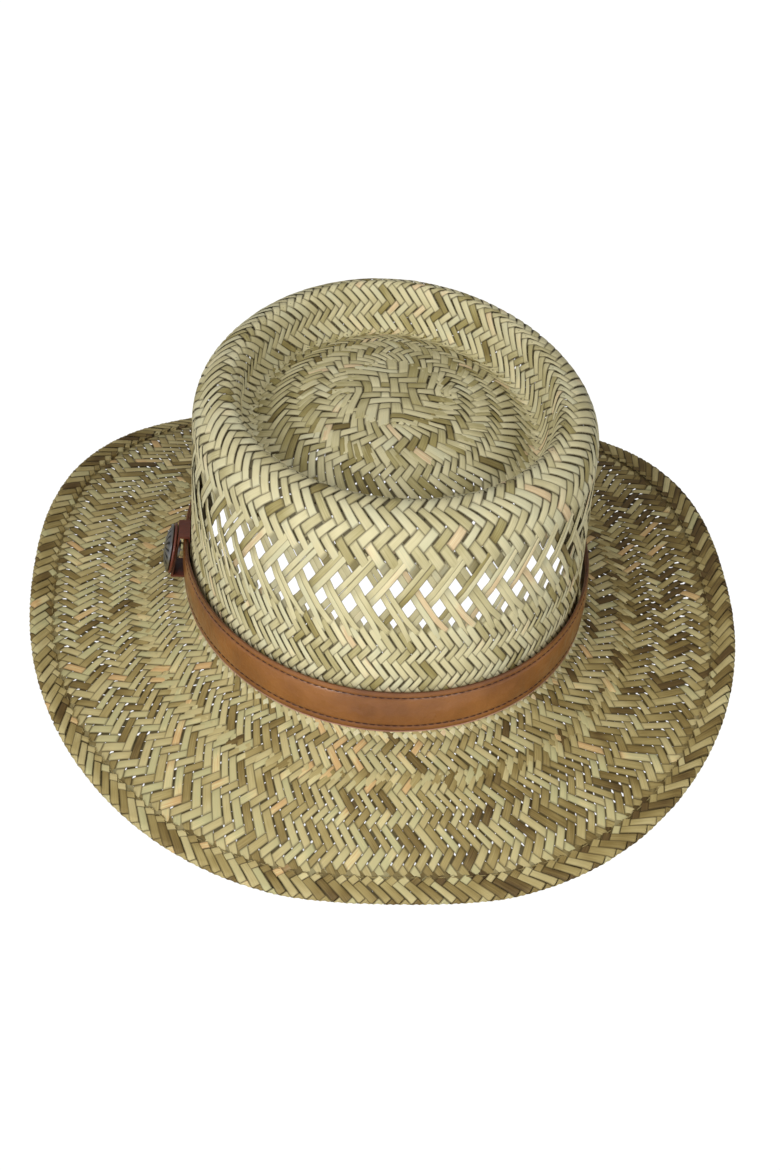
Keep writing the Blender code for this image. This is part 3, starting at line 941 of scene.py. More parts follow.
def blades_mesh(
    name: str, x: Array, y: Array, z: Array, facts: dict[str, Array], full_reach: float
) -> bpy.types.Mesh:
    """Join rings of section points into blades.

    Args:
        name: the mesh's name.
        x: angle in radians, shaped (blades, rows, section points).
        y: reach, the same shape.
        z: height over the middle of the straw, the same shape.
        facts: point attributes of the same shape.
        full_reach: the block's whole reach.

    Returns:
        The flat plait as a mesh.
    """
    blades, rows, around = x.shape
    points = np.stack([x / TAU, y / full_reach, z], -1).reshape(-1, 3)
    index = np.arange(blades * rows * around).reshape(blades, rows, around)
    following = np.roll(index, -1, axis=2)
    side = np.stack([index[:, :-1], index[:, 1:], following[:, 1:], following[:, :-1]], -1).reshape(-1, 4)
    first = index[:, 0]
    last = index[:, -1]
    caps = [first[:, [0, 1, 2, 3]], first[:, [0, 3, 4, 5]], last[:, [3, 2, 1, 0]], last[:, [5, 4, 3, 0]]]
    mesh = grid_mesh(name, points, np.vstack([side, *caps]))
    for key, values in facts.items():
        store(mesh, key, values)
    return mesh


@dataclass
class RingZone:
    """A stretch of the hat whose plait has the same number of blades all round.

    Attributes:
        name: the zone's name.
        count: blades of one family round the hat.
        start: reach where the zone begins.
        end: reach where it ends.
        widest: width of a blade that has room enough.
        tone_mean: mean tone of the blades, 0 dark to 1 pale.
        tone_spread: how much the tone differs from blade to blade.
        seed: seed of the random draws.
        start_tuck: how deep the first rows lie below the zone before, in swings.
        end_tuck: how deep the last rows lie below the next zone, in swings.
        cover: share of the room beside its neighbours that a blade fills.
        steps: where rows lie between two crossings.
        parts: places of the blades in a bundle, in steps from one bundle to the next.
        gather: how close a bundle's parts lie when drawn together, and at its two ends.
        outside: +1 where the upper side is seen, -1 where the straw is folded over.
        gloom: how strongly painted shade darkens a blade where it dives.
        hidden: crossings at each end that lie below the next zone.
        level_at: reach that a ring of crossings has to meet.
        painted_light_side: painted light and shade on the brim: how much paler the straw is painted towards a
            bearing, and that bearing in degrees; darker on the opposite side.
    """

    name: str
    count: int
    start: float
    end: float
    widest: float
    tone_mean: float
    tone_spread: float
    seed: int
    start_tuck: float = 1.3
    end_tuck: float = 2.2
    cover: float = 0.885
    steps: tuple[float, ...] = (-0.36, 0.36)
    parts: tuple[float, ...] = (0.0,)
    gather: tuple[float, float, float] | None = None
    outside: float = 1.0
    gloom: float = 1.0
    hidden: int = 1
    level_at: float | None = None
    painted_light_side: tuple[float, float] = (0.0, 0.0)

    def build(self, weave: Weave, family: Family) -> bpy.types.Mesh:
        """Plait one family of this zone's blades.

        Args:
            weave: the rule of the plait.
            family: which way the blades run.

        Returns:
            The flat plait.
        """
        random = np.random.default_rng(self.seed + (7 if family is Family.CLOCKWISE else 0))
        pitch = TAU / self.count
        straw = weave.straw
        first = int(np.round(weave.turn_at(self.start) * 2 / pitch))
        last = int(np.round(weave.turn_at(self.end) * 2 / pitch))
        rings = np.arange(first - 1, last + 2)
        rows = len(self.steps)
        phase = 0.0
        if self.level_at is not None:
            phase = float(weave.turn_at(self.level_at)) * 2 / pitch
            phase -= round(phase)
        ring = np.repeat(rings, rows)
        shift = np.tile(self.steps, len(rings))
        ring_place = ring + shift + phase
        side = weave.height(ring, family)
        beside = weave.height(ring + np.sign(shift).astype(int), family)
        level = side * np.where(beside == side, 1.0, 1.0 - 0.25 * np.abs(shift) / 0.36)
        under = rows * self.hidden
        level[:under] = -self.start_tuck * self.outside
        level[-under:] = -self.end_tuck * self.outside
        # Painted shade on the faces that lie under crossing blades, where their shadow falls.
        depth = self.shade(level * self.outside, under)
        beneath = self.shade(-level * self.outside, under)
        blades = self.count * len(self.parts)
        number = np.arange(self.count).repeat(len(self.parts))
        part = np.tile(self.parts, self.count)
        jitter = random.normal(0, 0.035, blades)
        wander = random.uniform(0, TAU, blades)
        width_share = np.clip(random.normal(1.0, 0.07, blades), 0.8, 1.12)
        tone = np.clip(random.normal(self.tone_mean, self.tone_spread, blades), 0.02, 0.98)
        direction = family.value
        bearing = number * pitch + direction * pitch * (first + last) / 4
        # Painted light and shade: the brim is painted paler on the lit near left and darker on the far right,
        # where the crown shades it.
        tone = tone + self.painted_light_side[0] * np.cos(bearing - math.radians(self.painted_light_side[1]))
        accent = random.uniform(0, 1, blades)
        tone = np.where(accent > 0.97, 0.99, tone)
        tone = np.where(accent < 0.03, tone * 0.35, tone)
        # Own angle of each blade, and the angle of the blades that it crosses at each row.
        own = (number * pitch + (phase * pitch if family is Family.CLOCKWISE else 0.0))[:, None]
        sway = 0.03 * np.sin(ring_place[None, :] * 0.55 + wander[:, None])
        own_offset = (jitter[:, None] + sway) * pitch
        spread = np.ones(len(ring))
        squeeze = np.ones(len(ring))
        if self.gather:
            spread, squeeze = self.gathering(ring_place, first, last)
        own_offset = own_offset * squeeze + part[:, None] * pitch * spread
        crossed = own + direction * pitch * ring_place[None, :]
        middle_turn = pitch * ring_place / 2
        reach_row = weave.reach_at(middle_turn)
        radius = np.interp(reach_row, weave.reaches, weave.radii)
        lean = np.interp(reach_row, weave.reaches, weave.leans)
        room = pitch * radius * np.cos(lean) / len(self.parts)
        wide = np.minimum(room * self.cover, self.widest)
        half = wide[None, :] * width_share[:, None] / 2 / (radius * np.cos(lean))[None, :]
        across = np.array([point[0] for point in SECTION])
        up = np.array([point[1] for point in SECTION])
        own_edge = (own + own_offset)[..., None] + half[..., None] * across
        crossed_edge = np.broadcast_to(crossed[..., None], own_edge.shape)
        angle = (own_edge + crossed_edge) / 2
        turn = direction * (crossed_edge - own_edge) / 2
        reach = weave.reach_at(turn)
        loose = random.normal(0, 0.04, (blades, 1)) * MM
        height = level[None, :] * straw.swing + loose
        height = height[..., None] + up * straw.thickness / 2
        length = np.concatenate([[0.0], np.cumsum(np.diff(reach_row) / np.cos(lean[1:]))])
        shape = own_edge.shape
        shaded = np.where(up * self.outside >= 0, depth[:, None], beneath[:, None])
        facts = {
            "tone": np.broadcast_to(tone[:, None, None], shape),
            "along": np.broadcast_to(length[None, :, None], shape),
            "across": np.broadcast_to(across * 2 * MM, shape),
            "number": np.broadcast_to((np.arange(blades) * 3.7)[:, None, None], shape),
            "depth": np.broadcast_to(shaded, shape),
        }
        return blades_mesh(self.name, angle, reach, height, facts, weave.block.full_reach)

    def shade(self, level: Array, under: int) -> Array:
        """How far each row lies in the shade of the blades that cross over it.

        Args:
            level: how high each row lies, +1 on top and -1 beneath.
            under: rows at each end that lie below the next zone.

        Returns:
            A share from 0 in the light to 1 in the shade.
        """
        depth = np.clip((1 - level) / 2 - 0.1, 0, 1) * self.gloom
        depth[:under] = depth[-under:] = 0.5
        return depth

    def gathering(self, place: Array, first: int, last: int) -> tuple[Array, Array]:
        """How tightly the parts of a bundle are drawn together at each row.

        Args:
            place: number of the crossing at each row.
            first: the zone's first crossing.
            last: its last crossing.

        Returns:
            The spread of a bundle's parts and the share of their sway, for each row.
        """
        closed, open_start, open_end = self.gather
        into = np.clip((place - first) / 0.9, 0, 1)
        out = np.clip((last - place) / 0.9, 0, 1)
        tight = np.minimum(ease(into), ease(out))
        wide = np.where(place < (first + last) / 2, open_start, open_end)
        return wide + (closed - wide) * tight, 1 - 0.5 * tight


@dataclass
class SquareTip:
    """The plaited square at the middle of the crown, worked out into rounds."""

    name: str
    rings: int
    pitch: float
    widest: float
    tone_mean: float
    tone_spread: float
    seed: int

    def build(self, weave: Weave, upright: bool) -> bpy.types.Mesh:
        """Plait the blades that run along X, or those that run along Y.

        Args:
            weave: the rule of the plait.
            upright: True for blades along Y.

        Returns:
            The flat plait.
        """
        random = np.random.default_rng(self.seed + int(upright))
        straw = weave.straw
        lines = np.arange(-self.rings, self.rings + 1)
        crossings = np.arange(-self.rings - 1, self.rings + 2)
        crossing = np.repeat(crossings, 2)
        place = crossing + np.tile([-0.36, 0.36], len(crossings))
        line = lines[:, None] + np.zeros_like(place)[None, :]
        ring = np.abs(lines)[:, None] + np.abs(crossing)[None, :]
        limit = self.rings + 1.4 - np.abs(line)
        along = np.clip(place[None, :], -limit, limit)
        across_x = lines[:, None] if upright else crossing[None, :]
        across_y = crossing[None, :] if upright else lines[:, None]
        first = np.isin(np.mod(ring, weave.repeat), weave.over)
        same = (across_x >= 0) == (across_y >= 0)
        upright_over = np.where(same, first, ~first)
        side = np.where(upright_over == upright, 1.0, -1.0)
        side = np.where(ring > self.rings, -2.0, side)
        across = np.array([point[0] for point in SECTION])
        up = np.array([point[1] for point in SECTION])
        share = np.clip(random.normal(1.0, 0.06, len(lines)), 0.85, 1.1)
        jitter = random.normal(0, 0.04, len(lines))
        half = (self.widest / self.pitch / 2 * share)[:, None, None] * across
        own = line[..., None] + jitter[:, None, None] + half
        other = np.broadcast_to(along[..., None], own.shape)
        x, y = (own, other) if upright else (other, own)
        angle, reach = self.rounded(x, y, weave)
        height = side * straw.swing + random.normal(0, 0.04, (len(lines), 1)) * MM
        height = height[..., None] + up * straw.thickness / 2
        tone = np.clip(random.normal(self.tone_mean, self.tone_spread, len(lines)), 0.05, 0.98)
        shape = own.shape
        # The depth is painted shade on the faces that lie under crossing blades.
        facts = {
            "tone": np.broadcast_to(tone[:, None, None], shape),
            "along": np.broadcast_to((place * self.pitch)[None, :, None], shape),
            "across": np.broadcast_to(across * 2 * MM, shape),
            "number": np.broadcast_to((lines * 5.3)[:, None, None], shape),
            "depth": np.clip((1 - side[..., None] * np.where(up >= 0, 1.0, -1.0)) / 2, 0, 1),
        }
        return blades_mesh(self.name, np.mod(angle, TAU), reach, height, facts, weave.block.full_reach)

    def rounded(self, x: Array, y: Array, weave: Weave) -> tuple[Array, Array]:
        """Ease the square plait into rounds as it grows.

        Args:
            x: column of each point in the square plait.
            y: row of each point.
            weave: the rule of the plait.

        Returns:
            Angle and reach of each point.
        """
        ring = np.abs(x) + np.abs(y)
        safe = np.maximum(ring, 0.001)
        quarter = math.pi / 2 * np.abs(y) / safe
        round_reach = ring * self.pitch * 0.9
        round_x = round_reach * np.cos(quarter) * np.sign(x)
        round_y = round_reach * np.sin(quarter) * np.sign(y)
        rounding = ease(np.clip((ring - 2) / (self.rings - 2), 0, 1))
        flat_x = x * self.pitch * (1 - rounding) + round_x * rounding
        flat_y = y * self.pitch * (1 - rounding) + round_y * rounding
        oval = weave.block.top_oval
        flat_x = flat_x / (1 - oval)
        flat_y = flat_y / (1 + oval)
        return np.arctan2(flat_y, flat_x), np.hypot(flat_x, flat_y)


# ---------------------------------------------------------------------------------------
# Bands and stitches that follow the crown


def waver(angle: Array, ripple: float) -> Array:
    """How far a band stands off the wall at each angle, over its even gap."""
    return ripple * (np.sin(angle * 3 + 0.7) + 0.6 * np.sin(angle * 7 + 2.0))


def swept(
    block: HatBlock, outline: list[tuple[float, float, float]], columns: int = 288, ripple: float = 0.0
) -> bpy.types.Mesh:
    """Carry a closed outline round the crown's wall.

    Args:
        block: the hat block.
        outline: standing-off distance, height over the band's foot and darkening of each point, partly
            painted shade.
        columns: steps round the hat.
        ripple: how far the band wavers off the wall.

    Returns:
        The closed band as a mesh with its darkening stored as "edge".
    """
    angles = np.linspace(0, TAU, columns, endpoint=False)
    points = np.array(outline)
    angle, off = np.meshgrid(angles, points[:, 0], indexing="ij")
    height = np.broadcast_to(points[:, 1], off.shape)
    radius = block.wall_radius(height) + off + waver(angle, ripple)
    grid = block.crown_place(angle, radius, height)
    count = len(outline)
    index = np.arange(columns * count).reshape(columns, count)
    around = np.roll(index, -1, axis=0)
    faces = np.stack([index, around, np.roll(around, -1, 1), np.roll(index, -1, 1)], -1).reshape(-1, 4)
    mesh = grid_mesh("band", grid.reshape(-1, 3), faces)
    store(mesh, "edge", np.broadcast_to(points[None, :, 2], grid.shape[:2]))
    return mesh


class StitchTree:
    """Geometry Nodes that lay a stitch at each point of a seam, turned along it."""

    def __init__(self) -> None:
        """Build the node group."""
        tree = bpy.data.node_groups.new("lay_stitches", "GeometryNodeTree")
        face = tree.interface
        face.new_socket("Seam", in_out="INPUT", socket_type="NodeSocketGeometry")
        for name, size in (("Stitch Length", 2.2 * MM), ("Thread Radius", 0.25 * MM), ("Sink", 0.12 * MM)):
            face.new_socket(name, in_out="INPUT", socket_type="NodeSocketFloat").default_value = size
        face.new_socket("Finish", in_out="INPUT", socket_type="NodeSocketMaterial")
        face.new_socket("Stitches", in_out="OUTPUT", socket_type="NodeSocketGeometry")
        start = add_node(tree, "NodeGroupInput").outputs
        sphere = {"Segments": 8, "Rings": 5, "Radius": 1.0}
        ball = add_node(tree, "GeometryNodeMeshUVSphere", values=sphere).outputs["Mesh"]
        across = start["Thread Radius"]
        sizes = {"X": start["Stitch Length"], "Y": across, "Z": across}
        thick = add_node(tree, "ShaderNodeCombineXYZ", sizes).outputs[0]
        along = named_vector(tree, "seam_along")
        out = named_vector(tree, "seam_out")
        align = "FunctionNodeAlignRotationToVector"
        face_out = add_node(tree, align, {"Vector": out}, axis="Z").outputs[0]
        both = {"Rotation": face_out, "Vector": along}
        turned = add_node(tree, align, both, axis="X", pivot_axis="Z").outputs[0]
        stitch = {"Points": start["Seam"], "Instance": ball, "Rotation": turned, "Scale": thick}
        laid = add_node(tree, "GeometryNodeInstanceOnPoints", stitch).outputs[0]
        down = vector_step(tree, "SCALE", {0: out, "Scale": calculate(tree, "MULTIPLY", start["Sink"], -1.0)})
        sunk = add_node(
            tree,
            "GeometryNodeTranslateInstances",
            {"Instances": laid, "Translation": down},
            {"Local Space": False},
        )
        finish_tree(tree, sunk.outputs[0], start["Finish"], "Stitches")
        self.tree = tree

    def lay(
        self, name: str, places: Array, out: Array, length: float, radius: float, finish: bpy.types.Material
    ) -> bpy.types.Object:
        """Lay stitches along a closed seam.

        Args:
            name: the piece's name.
            places: the middle of each stitch.
            out: the direction away from the surface at each.
            length: half the length of one stitch.
            radius: the thread's radius.
            finish: the thread's material.

        Returns:
            The row of stitches.
        """
        mesh = bpy.data.meshes.new(name)
        mesh.from_pydata([tuple(p) for p in places], [], [])
        along = np.roll(places, -1, 0) - np.roll(places, 1, 0)
        for key, values in (("seam_along", along), ("seam_out", out)):
            layer = mesh.attributes.new(key, "FLOAT_VECTOR", "POINT")
            layer.data.foreach_set("vector", values.astype(np.float32).reshape(-1))
        inputs = {"Stitch Length": length, "Thread Radius": radius}
        return run_tree(name, mesh, self.tree, inputs, finish)


# ---------------------------------------------------------------------------------------
# Sub-assemblies


@dataclass
class StrawBody:
    """Crown, open-work, brim and hem, plaited and pressed."""

    block: HatBlock
    crown_straw: bpy.types.Material
    brim_straw: bpy.types.Material

    def __post_init__(self) -> None:
        """Set how the blades lean from the crown's middle out to the hem."""
        block = self.block
        vent_top = block.reach_at_height(79.0 * MM)
        vent_low = block.reach_at_height(40.0 * MM)
        edge = block.edge_reach
        self.weave = Weave(
            block,
            lean_reaches=(
                0.0, 45 * MM, 80 * MM, vent_top - 8 * MM, vent_top, vent_low, vent_low + 8 * MM,
                block.crown_reach, edge - 6 * MM, edge, block.full_reach,
            ),
            lean_degrees=(38.0, 38.0, 42.0, 43.0, 34.6, 34.6, 38.5, 38.0, 37.0, 50.0, 54.0),
        )

    def zones(self) -> list[tuple[str, RingZone, bpy.types.Material]]:
        """The zones of the plait, each with the CAD node it stands for.

        Returns:
            The CAD node, the zone and its material, for each zone.
        """
        block = self.block
        inner, middle, moat = 23 * MM, 43 * MM, block.moat_reach
        overlap = 2.5 * MM
        rim_end = block.reach_at_height(75.5 * MM)
        vent_start = block.reach_at_height(82.6 * MM)
        vent_row = block.reach_at_height(64.4 * MM)
        vent_end = block.reach_at_height(37.1 * MM)
        wall_start = block.reach_at_height(43.5 * MM)
        foot = block.crown_reach + 1 * MM
        brim_mid = block.crown_reach + 24 * MM
        crown, brim = self.crown_straw, self.brim_straw
        rim = RingZone("rim", 96, moat - overlap, rim_end, 4.6 * MM, 0.58, 0.15, 21, end_tuck=1.2)
        open_work = RingZone(
            "open_work", 48, vent_start, vent_end, 2.7 * MM, 0.6, 0.16, 31, start_tuck=2.2, end_tuck=2.2,
            parts=(-0.5, 0.5), gather=(0.25, 0.5, 0.5), gloom=0.3, hidden=2, level_at=vent_row,
        )
        brim_inner = RingZone(
            "brim_inner", 156, foot - overlap, brim_mid, 3.9 * MM, 0.49, 0.2, 51, painted_light_side=(0.14, -125.0)
        )
        brim_outer = RingZone(
            "brim_outer", 190, brim_mid - overlap, block.edge_reach, 4.0 * MM, 0.44, 0.2, 61,
            end_tuck=-1.5, painted_light_side=(0.18, -140.0),
        )
        hem = RingZone(
            "hem", 190, block.edge_reach, block.full_reach - 3 * MM, 4.4 * MM, 0.32, 0.2, 71,
            start_tuck=1.5, outside=-1.0, cover=0.95, painted_light_side=(0.12, -150.0),
            steps=(-0.45, -0.3, -0.15, 0.0, 0.15, 0.3, 0.45),
        )
        return [
            ("crown_dome", RingZone("dome", 44, inner, middle, 4.2 * MM, 0.46, 0.14, 9), crown),
            ("crown_dome", RingZone("crease", 70, middle - overlap, moat, 4.3 * MM, 0.46, 0.14, 11), crown),
            ("crown_rim", rim, crown),
            ("crown_vent_band", open_work, crown),
            ("crown_wall", RingZone("wall", 144, wall_start, foot, 3.7 * MM, 0.56, 0.16, 41), crown),
            ("brim", brim_inner, brim),
            ("brim", brim_outer, brim),
            ("brim_hem", hem, brim),
        ]

    def build(self, press: PressTree, block_object: bpy.types.Object) -> None:
        """Plait and press every zone.

        Args:
            press: the tree that presses a plait over the block.
            block_object: the block.
        """
        plaits = []
        tip = SquareTip("tip", 7, 3.95 * MM, 3.6 * MM, 0.46, 0.13, 5)
        for upright, word in ((True, "lengthwise"), (False, "crosswise")):
            mesh = tip.build(self.weave, upright)
            plaits.append((f"crown_centre_{word}", mesh, self.crown_straw, "crown_dome"))
        for node, zone, finish in self.zones():
            for family, word in ((Family.ANTICLOCKWISE, "left_laid"), (Family.CLOCKWISE, "right_laid")):
                plaits.append((f"{zone.name}_{word}", zone.build(self.weave, family), finish, node))
        for name, mesh, finish, node in plaits:
            piece = run_tree(name, mesh, press.tree, {"Block": block_object}, finish)
            tell(piece, Body.HAT, node)

    def sew_hem(self, stitches: StitchTree, thread: bpy.types.Material) -> None:
        """Sew the folded leaf down with short stitches.

        Args:
            stitches: the tree that lays stitches.
            thread: the thread's material.
        """
        block = self.block
        reach = block.full_reach - 2.6 * MM
        spacing = 6.0 * MM
        count = int(TAU * float(block.mean_radius(reach)) / spacing)
        angle = np.linspace(0, TAU, count, endpoint=False)
        places, normal = block.sample(angle, np.full_like(angle, reach))
        places = places - normal * 0.5 * MM
        piece = stitches.lay("hem_stitches", places, -normal, spacing * 0.3, 0.26 * MM, thread)
        tell(piece, Body.HAT, "hem_stitching")


@dataclass
class Hatband:
    """The leather strap with its lining and two lines of stitching."""

    block: HatBlock
    leather: bpy.types.Material
    lining: bpy.types.Material
    thread: bpy.types.Material
    width: float = 18.4 * MM
    inner: float = 2.65 * MM
    thickness: float = 1.2 * MM
    seam_inset: float = 2.5 * MM
    lining_lip: float = 0.7 * MM
    ripple: float = 0.1 * MM

    def strap_outline(self) -> list[tuple[float, float, float]]:
        """Section of the strap: puffed between two stitched channels.

        Returns:
            Standing-off distance, height and darkening of each point: darker towards the edges, with painted
            shade in the stitched channels and on the faces that lie against the wall.
        """
        face = self.inner + self.thickness
        middle = self.width / 2
        # The back, which lies against the wall, and the thin edges get painted shade.
        points = [(self.inner, 0.25 * MM, 0.5), (self.inner + 0.3 * MM, 0.0, 0.5)]
        points.append((face - 0.35 * MM, 0.05 * MM, 0.42))
        for height in np.linspace(0.0, 1.0, 25):
            place = 0.45 * MM + height * (self.width - 0.9 * MM)
            from_edge = min(place, self.width - place)
            channel = math.exp(-(((from_edge - self.seam_inset) / (0.45 * MM)) ** 2))
            puff = 0.45 * MM * max(0.0, 1 - ((place - middle) / (middle - self.seam_inset)) ** 2)
            # Darker towards the edges, and painted shade in the stitched channel, where the groove falls in
            # shadow.
            edge = 0.3 * math.exp(-from_edge / (0.8 * MM)) + 0.28 * channel
            roll = 0.3 * MM * math.exp(-((from_edge - 0.45 * MM) / (0.5 * MM)))
            points.append((face + puff - 0.35 * MM * channel - roll, place, edge))
        points += [(face - 0.35 * MM, self.width - 0.05 * MM, 0.42), (self.inner + 0.3 * MM, self.width, 0.5)]
        points.append((self.inner, self.width - 0.25 * MM, 0.5))
        return points

    def build(self, stitches: StitchTree) -> None:
        """Make the strap, the lining and the stitching.

        Args:
            stitches: the tree that lays stitches.
        """
        strap = keep("strap", swept(self.block, self.strap_outline(), ripple=self.ripple), self.leather)
        tell(strap, Body.HATBAND, "hatband_strap")
        back = self.inner - 0.35 * MM
        front = self.inner - 0.02 * MM
        lip = self.inner + 0.95 * MM
        low = -self.lining_lip
        high = self.width - 1.0 * MM
        # The third number is painted shade: darker on the faces against the wall and behind the strap, none
        # on the visible lip.
        outline = [
            (back, low, 0.3), (lip - 0.2 * MM, low, 0.0), (lip, low + 0.25 * MM, 0.0), (lip, -0.05 * MM, 0.0),
            (front, -0.04 * MM, 0.2), (front, high, 0.2), (back, high, 0.3),
        ]
        lining = keep("lining", swept(self.block, outline, ripple=self.ripple), self.lining)
        tell(lining, Body.HATBAND, "hatband_lining")
        for word, height in (("lower", self.seam_inset), ("upper", self.width - self.seam_inset)):
            piece = self.seam(f"{word}_stitching", height, stitches)
            tell(piece, Body.HATBAND, f"hatband_{word}_stitching")

    def seam(self, name: str, height: float, stitches: StitchTree) -> bpy.types.Object:
        """One line of lockstitch in the strap's channel.

        Args:
            name: the piece's name.
            height: height of the line over the band's foot.
            stitches: the tree that lays stitches.

        Returns:
            The row of stitches.
        """
        spacing = 3.1 * MM
        count = int(TAU * self.block.base_radius / spacing)
        angle = np.linspace(0, TAU, count, endpoint=False)
        flat = np.full_like(angle, height)
        off = self.inner + self.thickness - 0.12 * MM + waver(angle, self.ripple)
        radius = self.block.wall_radius(flat) + off
        places = self.block.crown_place(angle, radius, flat)
        further = self.block.crown_place(angle, radius + 1 * MM, flat)
        return stitches.lay(name, places, unit(further - places), spacing * 0.4, 0.3 * MM, self.thread)


def revolved(
    name: str, profile: list[tuple[float, float, float]], segments: int, relief: float = 0.0, petals: int = 0
) -> bpy.types.Mesh:
    """Turn a closed profile about Z, with petals chased into its upper face.

    Args:
        name: the mesh's name.
        profile: radius, height and share of the relief, from the axis below to the axis above.
        segments: steps round the axis.
        relief: depth of the chased lines.
        petals: number of petals.

    Returns:
        The closed mesh, with the depth of its hollows stored as "edge".
    """
    angles = np.linspace(0, TAU, segments, endpoint=False)
    radii, heights, shares = np.array(profile[1:-1]).T
    top = max(radii)
    turns = angles[:, None] * petals / 2 + (radii[None, :] / top) * 1.2
    sink = (1 - np.abs(np.cos(turns)) ** 0.6) * shares[None, :]
    z = heights[None, :] - relief * sink
    ring = np.stack([radii * np.cos(angles)[:, None], radii * np.sin(angles)[:, None], z], -1)
    count = len(radii)
    index = np.arange(segments * count).reshape(segments, count)
    after = np.roll(index, -1, axis=0)
    quads = np.stack([index[:, :-1], after[:, :-1], after[:, 1:], index[:, 1:]], -1).reshape(-1, 4).tolist()
    low, high = segments * count, segments * count + 1
    fans = [(low, int(b), int(a)) for a, b in zip(index[:, 0], after[:, 0])]
    fans += [(high, int(a), int(b)) for a, b in zip(index[:, -1], after[:, -1])]
    ends = [(0.0, 0.0, profile[0][1]), (0.0, 0.0, profile[-1][1])]
    mesh = bpy.data.meshes.new(name)
    mesh.from_pydata(ring.reshape(-1, 3).tolist() + ends, [], quads + fans)
    store(mesh, "edge", np.concatenate([sink.reshape(-1), [0.0, 0.0]]))
    return mesh


@dataclass
class Ornament:
    """Keeper loop, leather rosette, screw and domed metal cap."""

    nodes: dict[str, bpy.types.Object]
    leather: bpy.types.Material
    silver: bpy.types.Material
    centre: tuple[float, float, float] = (-92.83 * MM, -12.33 * MM, 49.38 * MM)
    axis: tuple[float, float, float] = (-0.988229, 0.000909, 0.152977)
    gap: float = 0.35 * MM
    rosette_radius: float = 11.3 * MM
    rosette_thickness: float = 1.2 * MM
    cap_radius: float = 10.6 * MM
    cap_height: float = 2.8 * MM
    petals: int = 16

    def build(self) -> None:
        """Dress the loop and the screw, and make the rosette and the chased cap."""
        dress(self.nodes["hatband_keeper"], self.leather)
        dress(self.nodes["ornament_screw"], self.silver)
        self.place("rosette", self.rosette(), self.leather, Body.HATBAND, "ornament_rosette", "leather")
        self.place("cap", self.cap(), self.silver, Body.ORNAMENT, "ornament_cap", "silver")

    def rosette(self) -> bpy.types.Mesh:
        """A leather washer with a rolled edge, its middle hidden by the cap.

        Returns:
            The rosette, on the Z axis.
        """
        radius, low = self.rosette_radius, self.gap
        high = low + self.rosette_thickness
        half = self.rosette_thickness / 2
        profile = [(0.0, low, 0.0), (1.0 * MM, low, 0.0)]
        for step in range(9):
            turn = math.pi * (step / 8 - 0.5)
            profile.append((radius - half + half * math.cos(turn), low + half + half * math.sin(turn), 0.0))
        profile += [(1.0 * MM, high, 0.0), (0.0, high, 0.0)]
        return revolved("rosette", profile, 96)

    def cap(self) -> bpy.types.Mesh:
        """A domed cap with a raised rim, a groove and chased petals.

        Returns:
            The cap, on the Z axis.
        """
        radius = self.cap_radius
        low = self.gap * 2 + self.rosette_thickness
        high = low + self.cap_height
        profile = [(0.0, low, 0.0), (radius - 0.3 * MM, low, 0.0), (radius, low + 0.25 * MM, 0.0)]
        profile += [(radius, low + 0.6 * MM, 0.0), (radius - 0.3 * MM, low + 0.95 * MM, 0.0)]
        profile += [(radius - 0.9 * MM, low + 1.0 * MM, 0.0), (radius - 1.2 * MM, low + 0.65 * MM, 1.0)]
        inner = radius - 1.5 * MM
        for step in range(1, 25):
            turn = math.pi / 2 * step / 25
            share = 1.0 if 4 < step < 20 else 0.25
            rise = (self.cap_height - 0.7 * MM) * math.sin(turn)
            profile.append((inner * math.cos(turn), low + 0.7 * MM + rise, share))
        profile.append((0.0, high, 0.0))
        return revolved("cap", profile, 192, 0.45 * MM, self.petals)

    def place(
        self,
        name: str,
        mesh: bpy.types.Mesh,
        finish: bpy.types.Material,
        body: Body,
        node: str,
        slot: str,
    ) -> None:
        """Move a turned part onto the ornament's axis and tell the frame about it.

        Args:
            name: the piece's name.
            mesh: the part, turned about Z.
            finish: its material.
            body: the body that it moves with.
            node: the CAD node that it replaces.
            slot: not used.
        """
        turn = Vector(self.axis).to_track_quat("Z", "Y").to_matrix().to_4x4()
        mesh.transform(Matrix.Translation(self.centre) @ turn)
        tell(keep(name, mesh, finish, 30.0), body, node)


def dress(node: bpy.types.Object, finish: bpy.types.Material) -> None:
    """Give a CAD node a better material."""
    node.data.materials.clear()
    node.data.materials.append(finish)


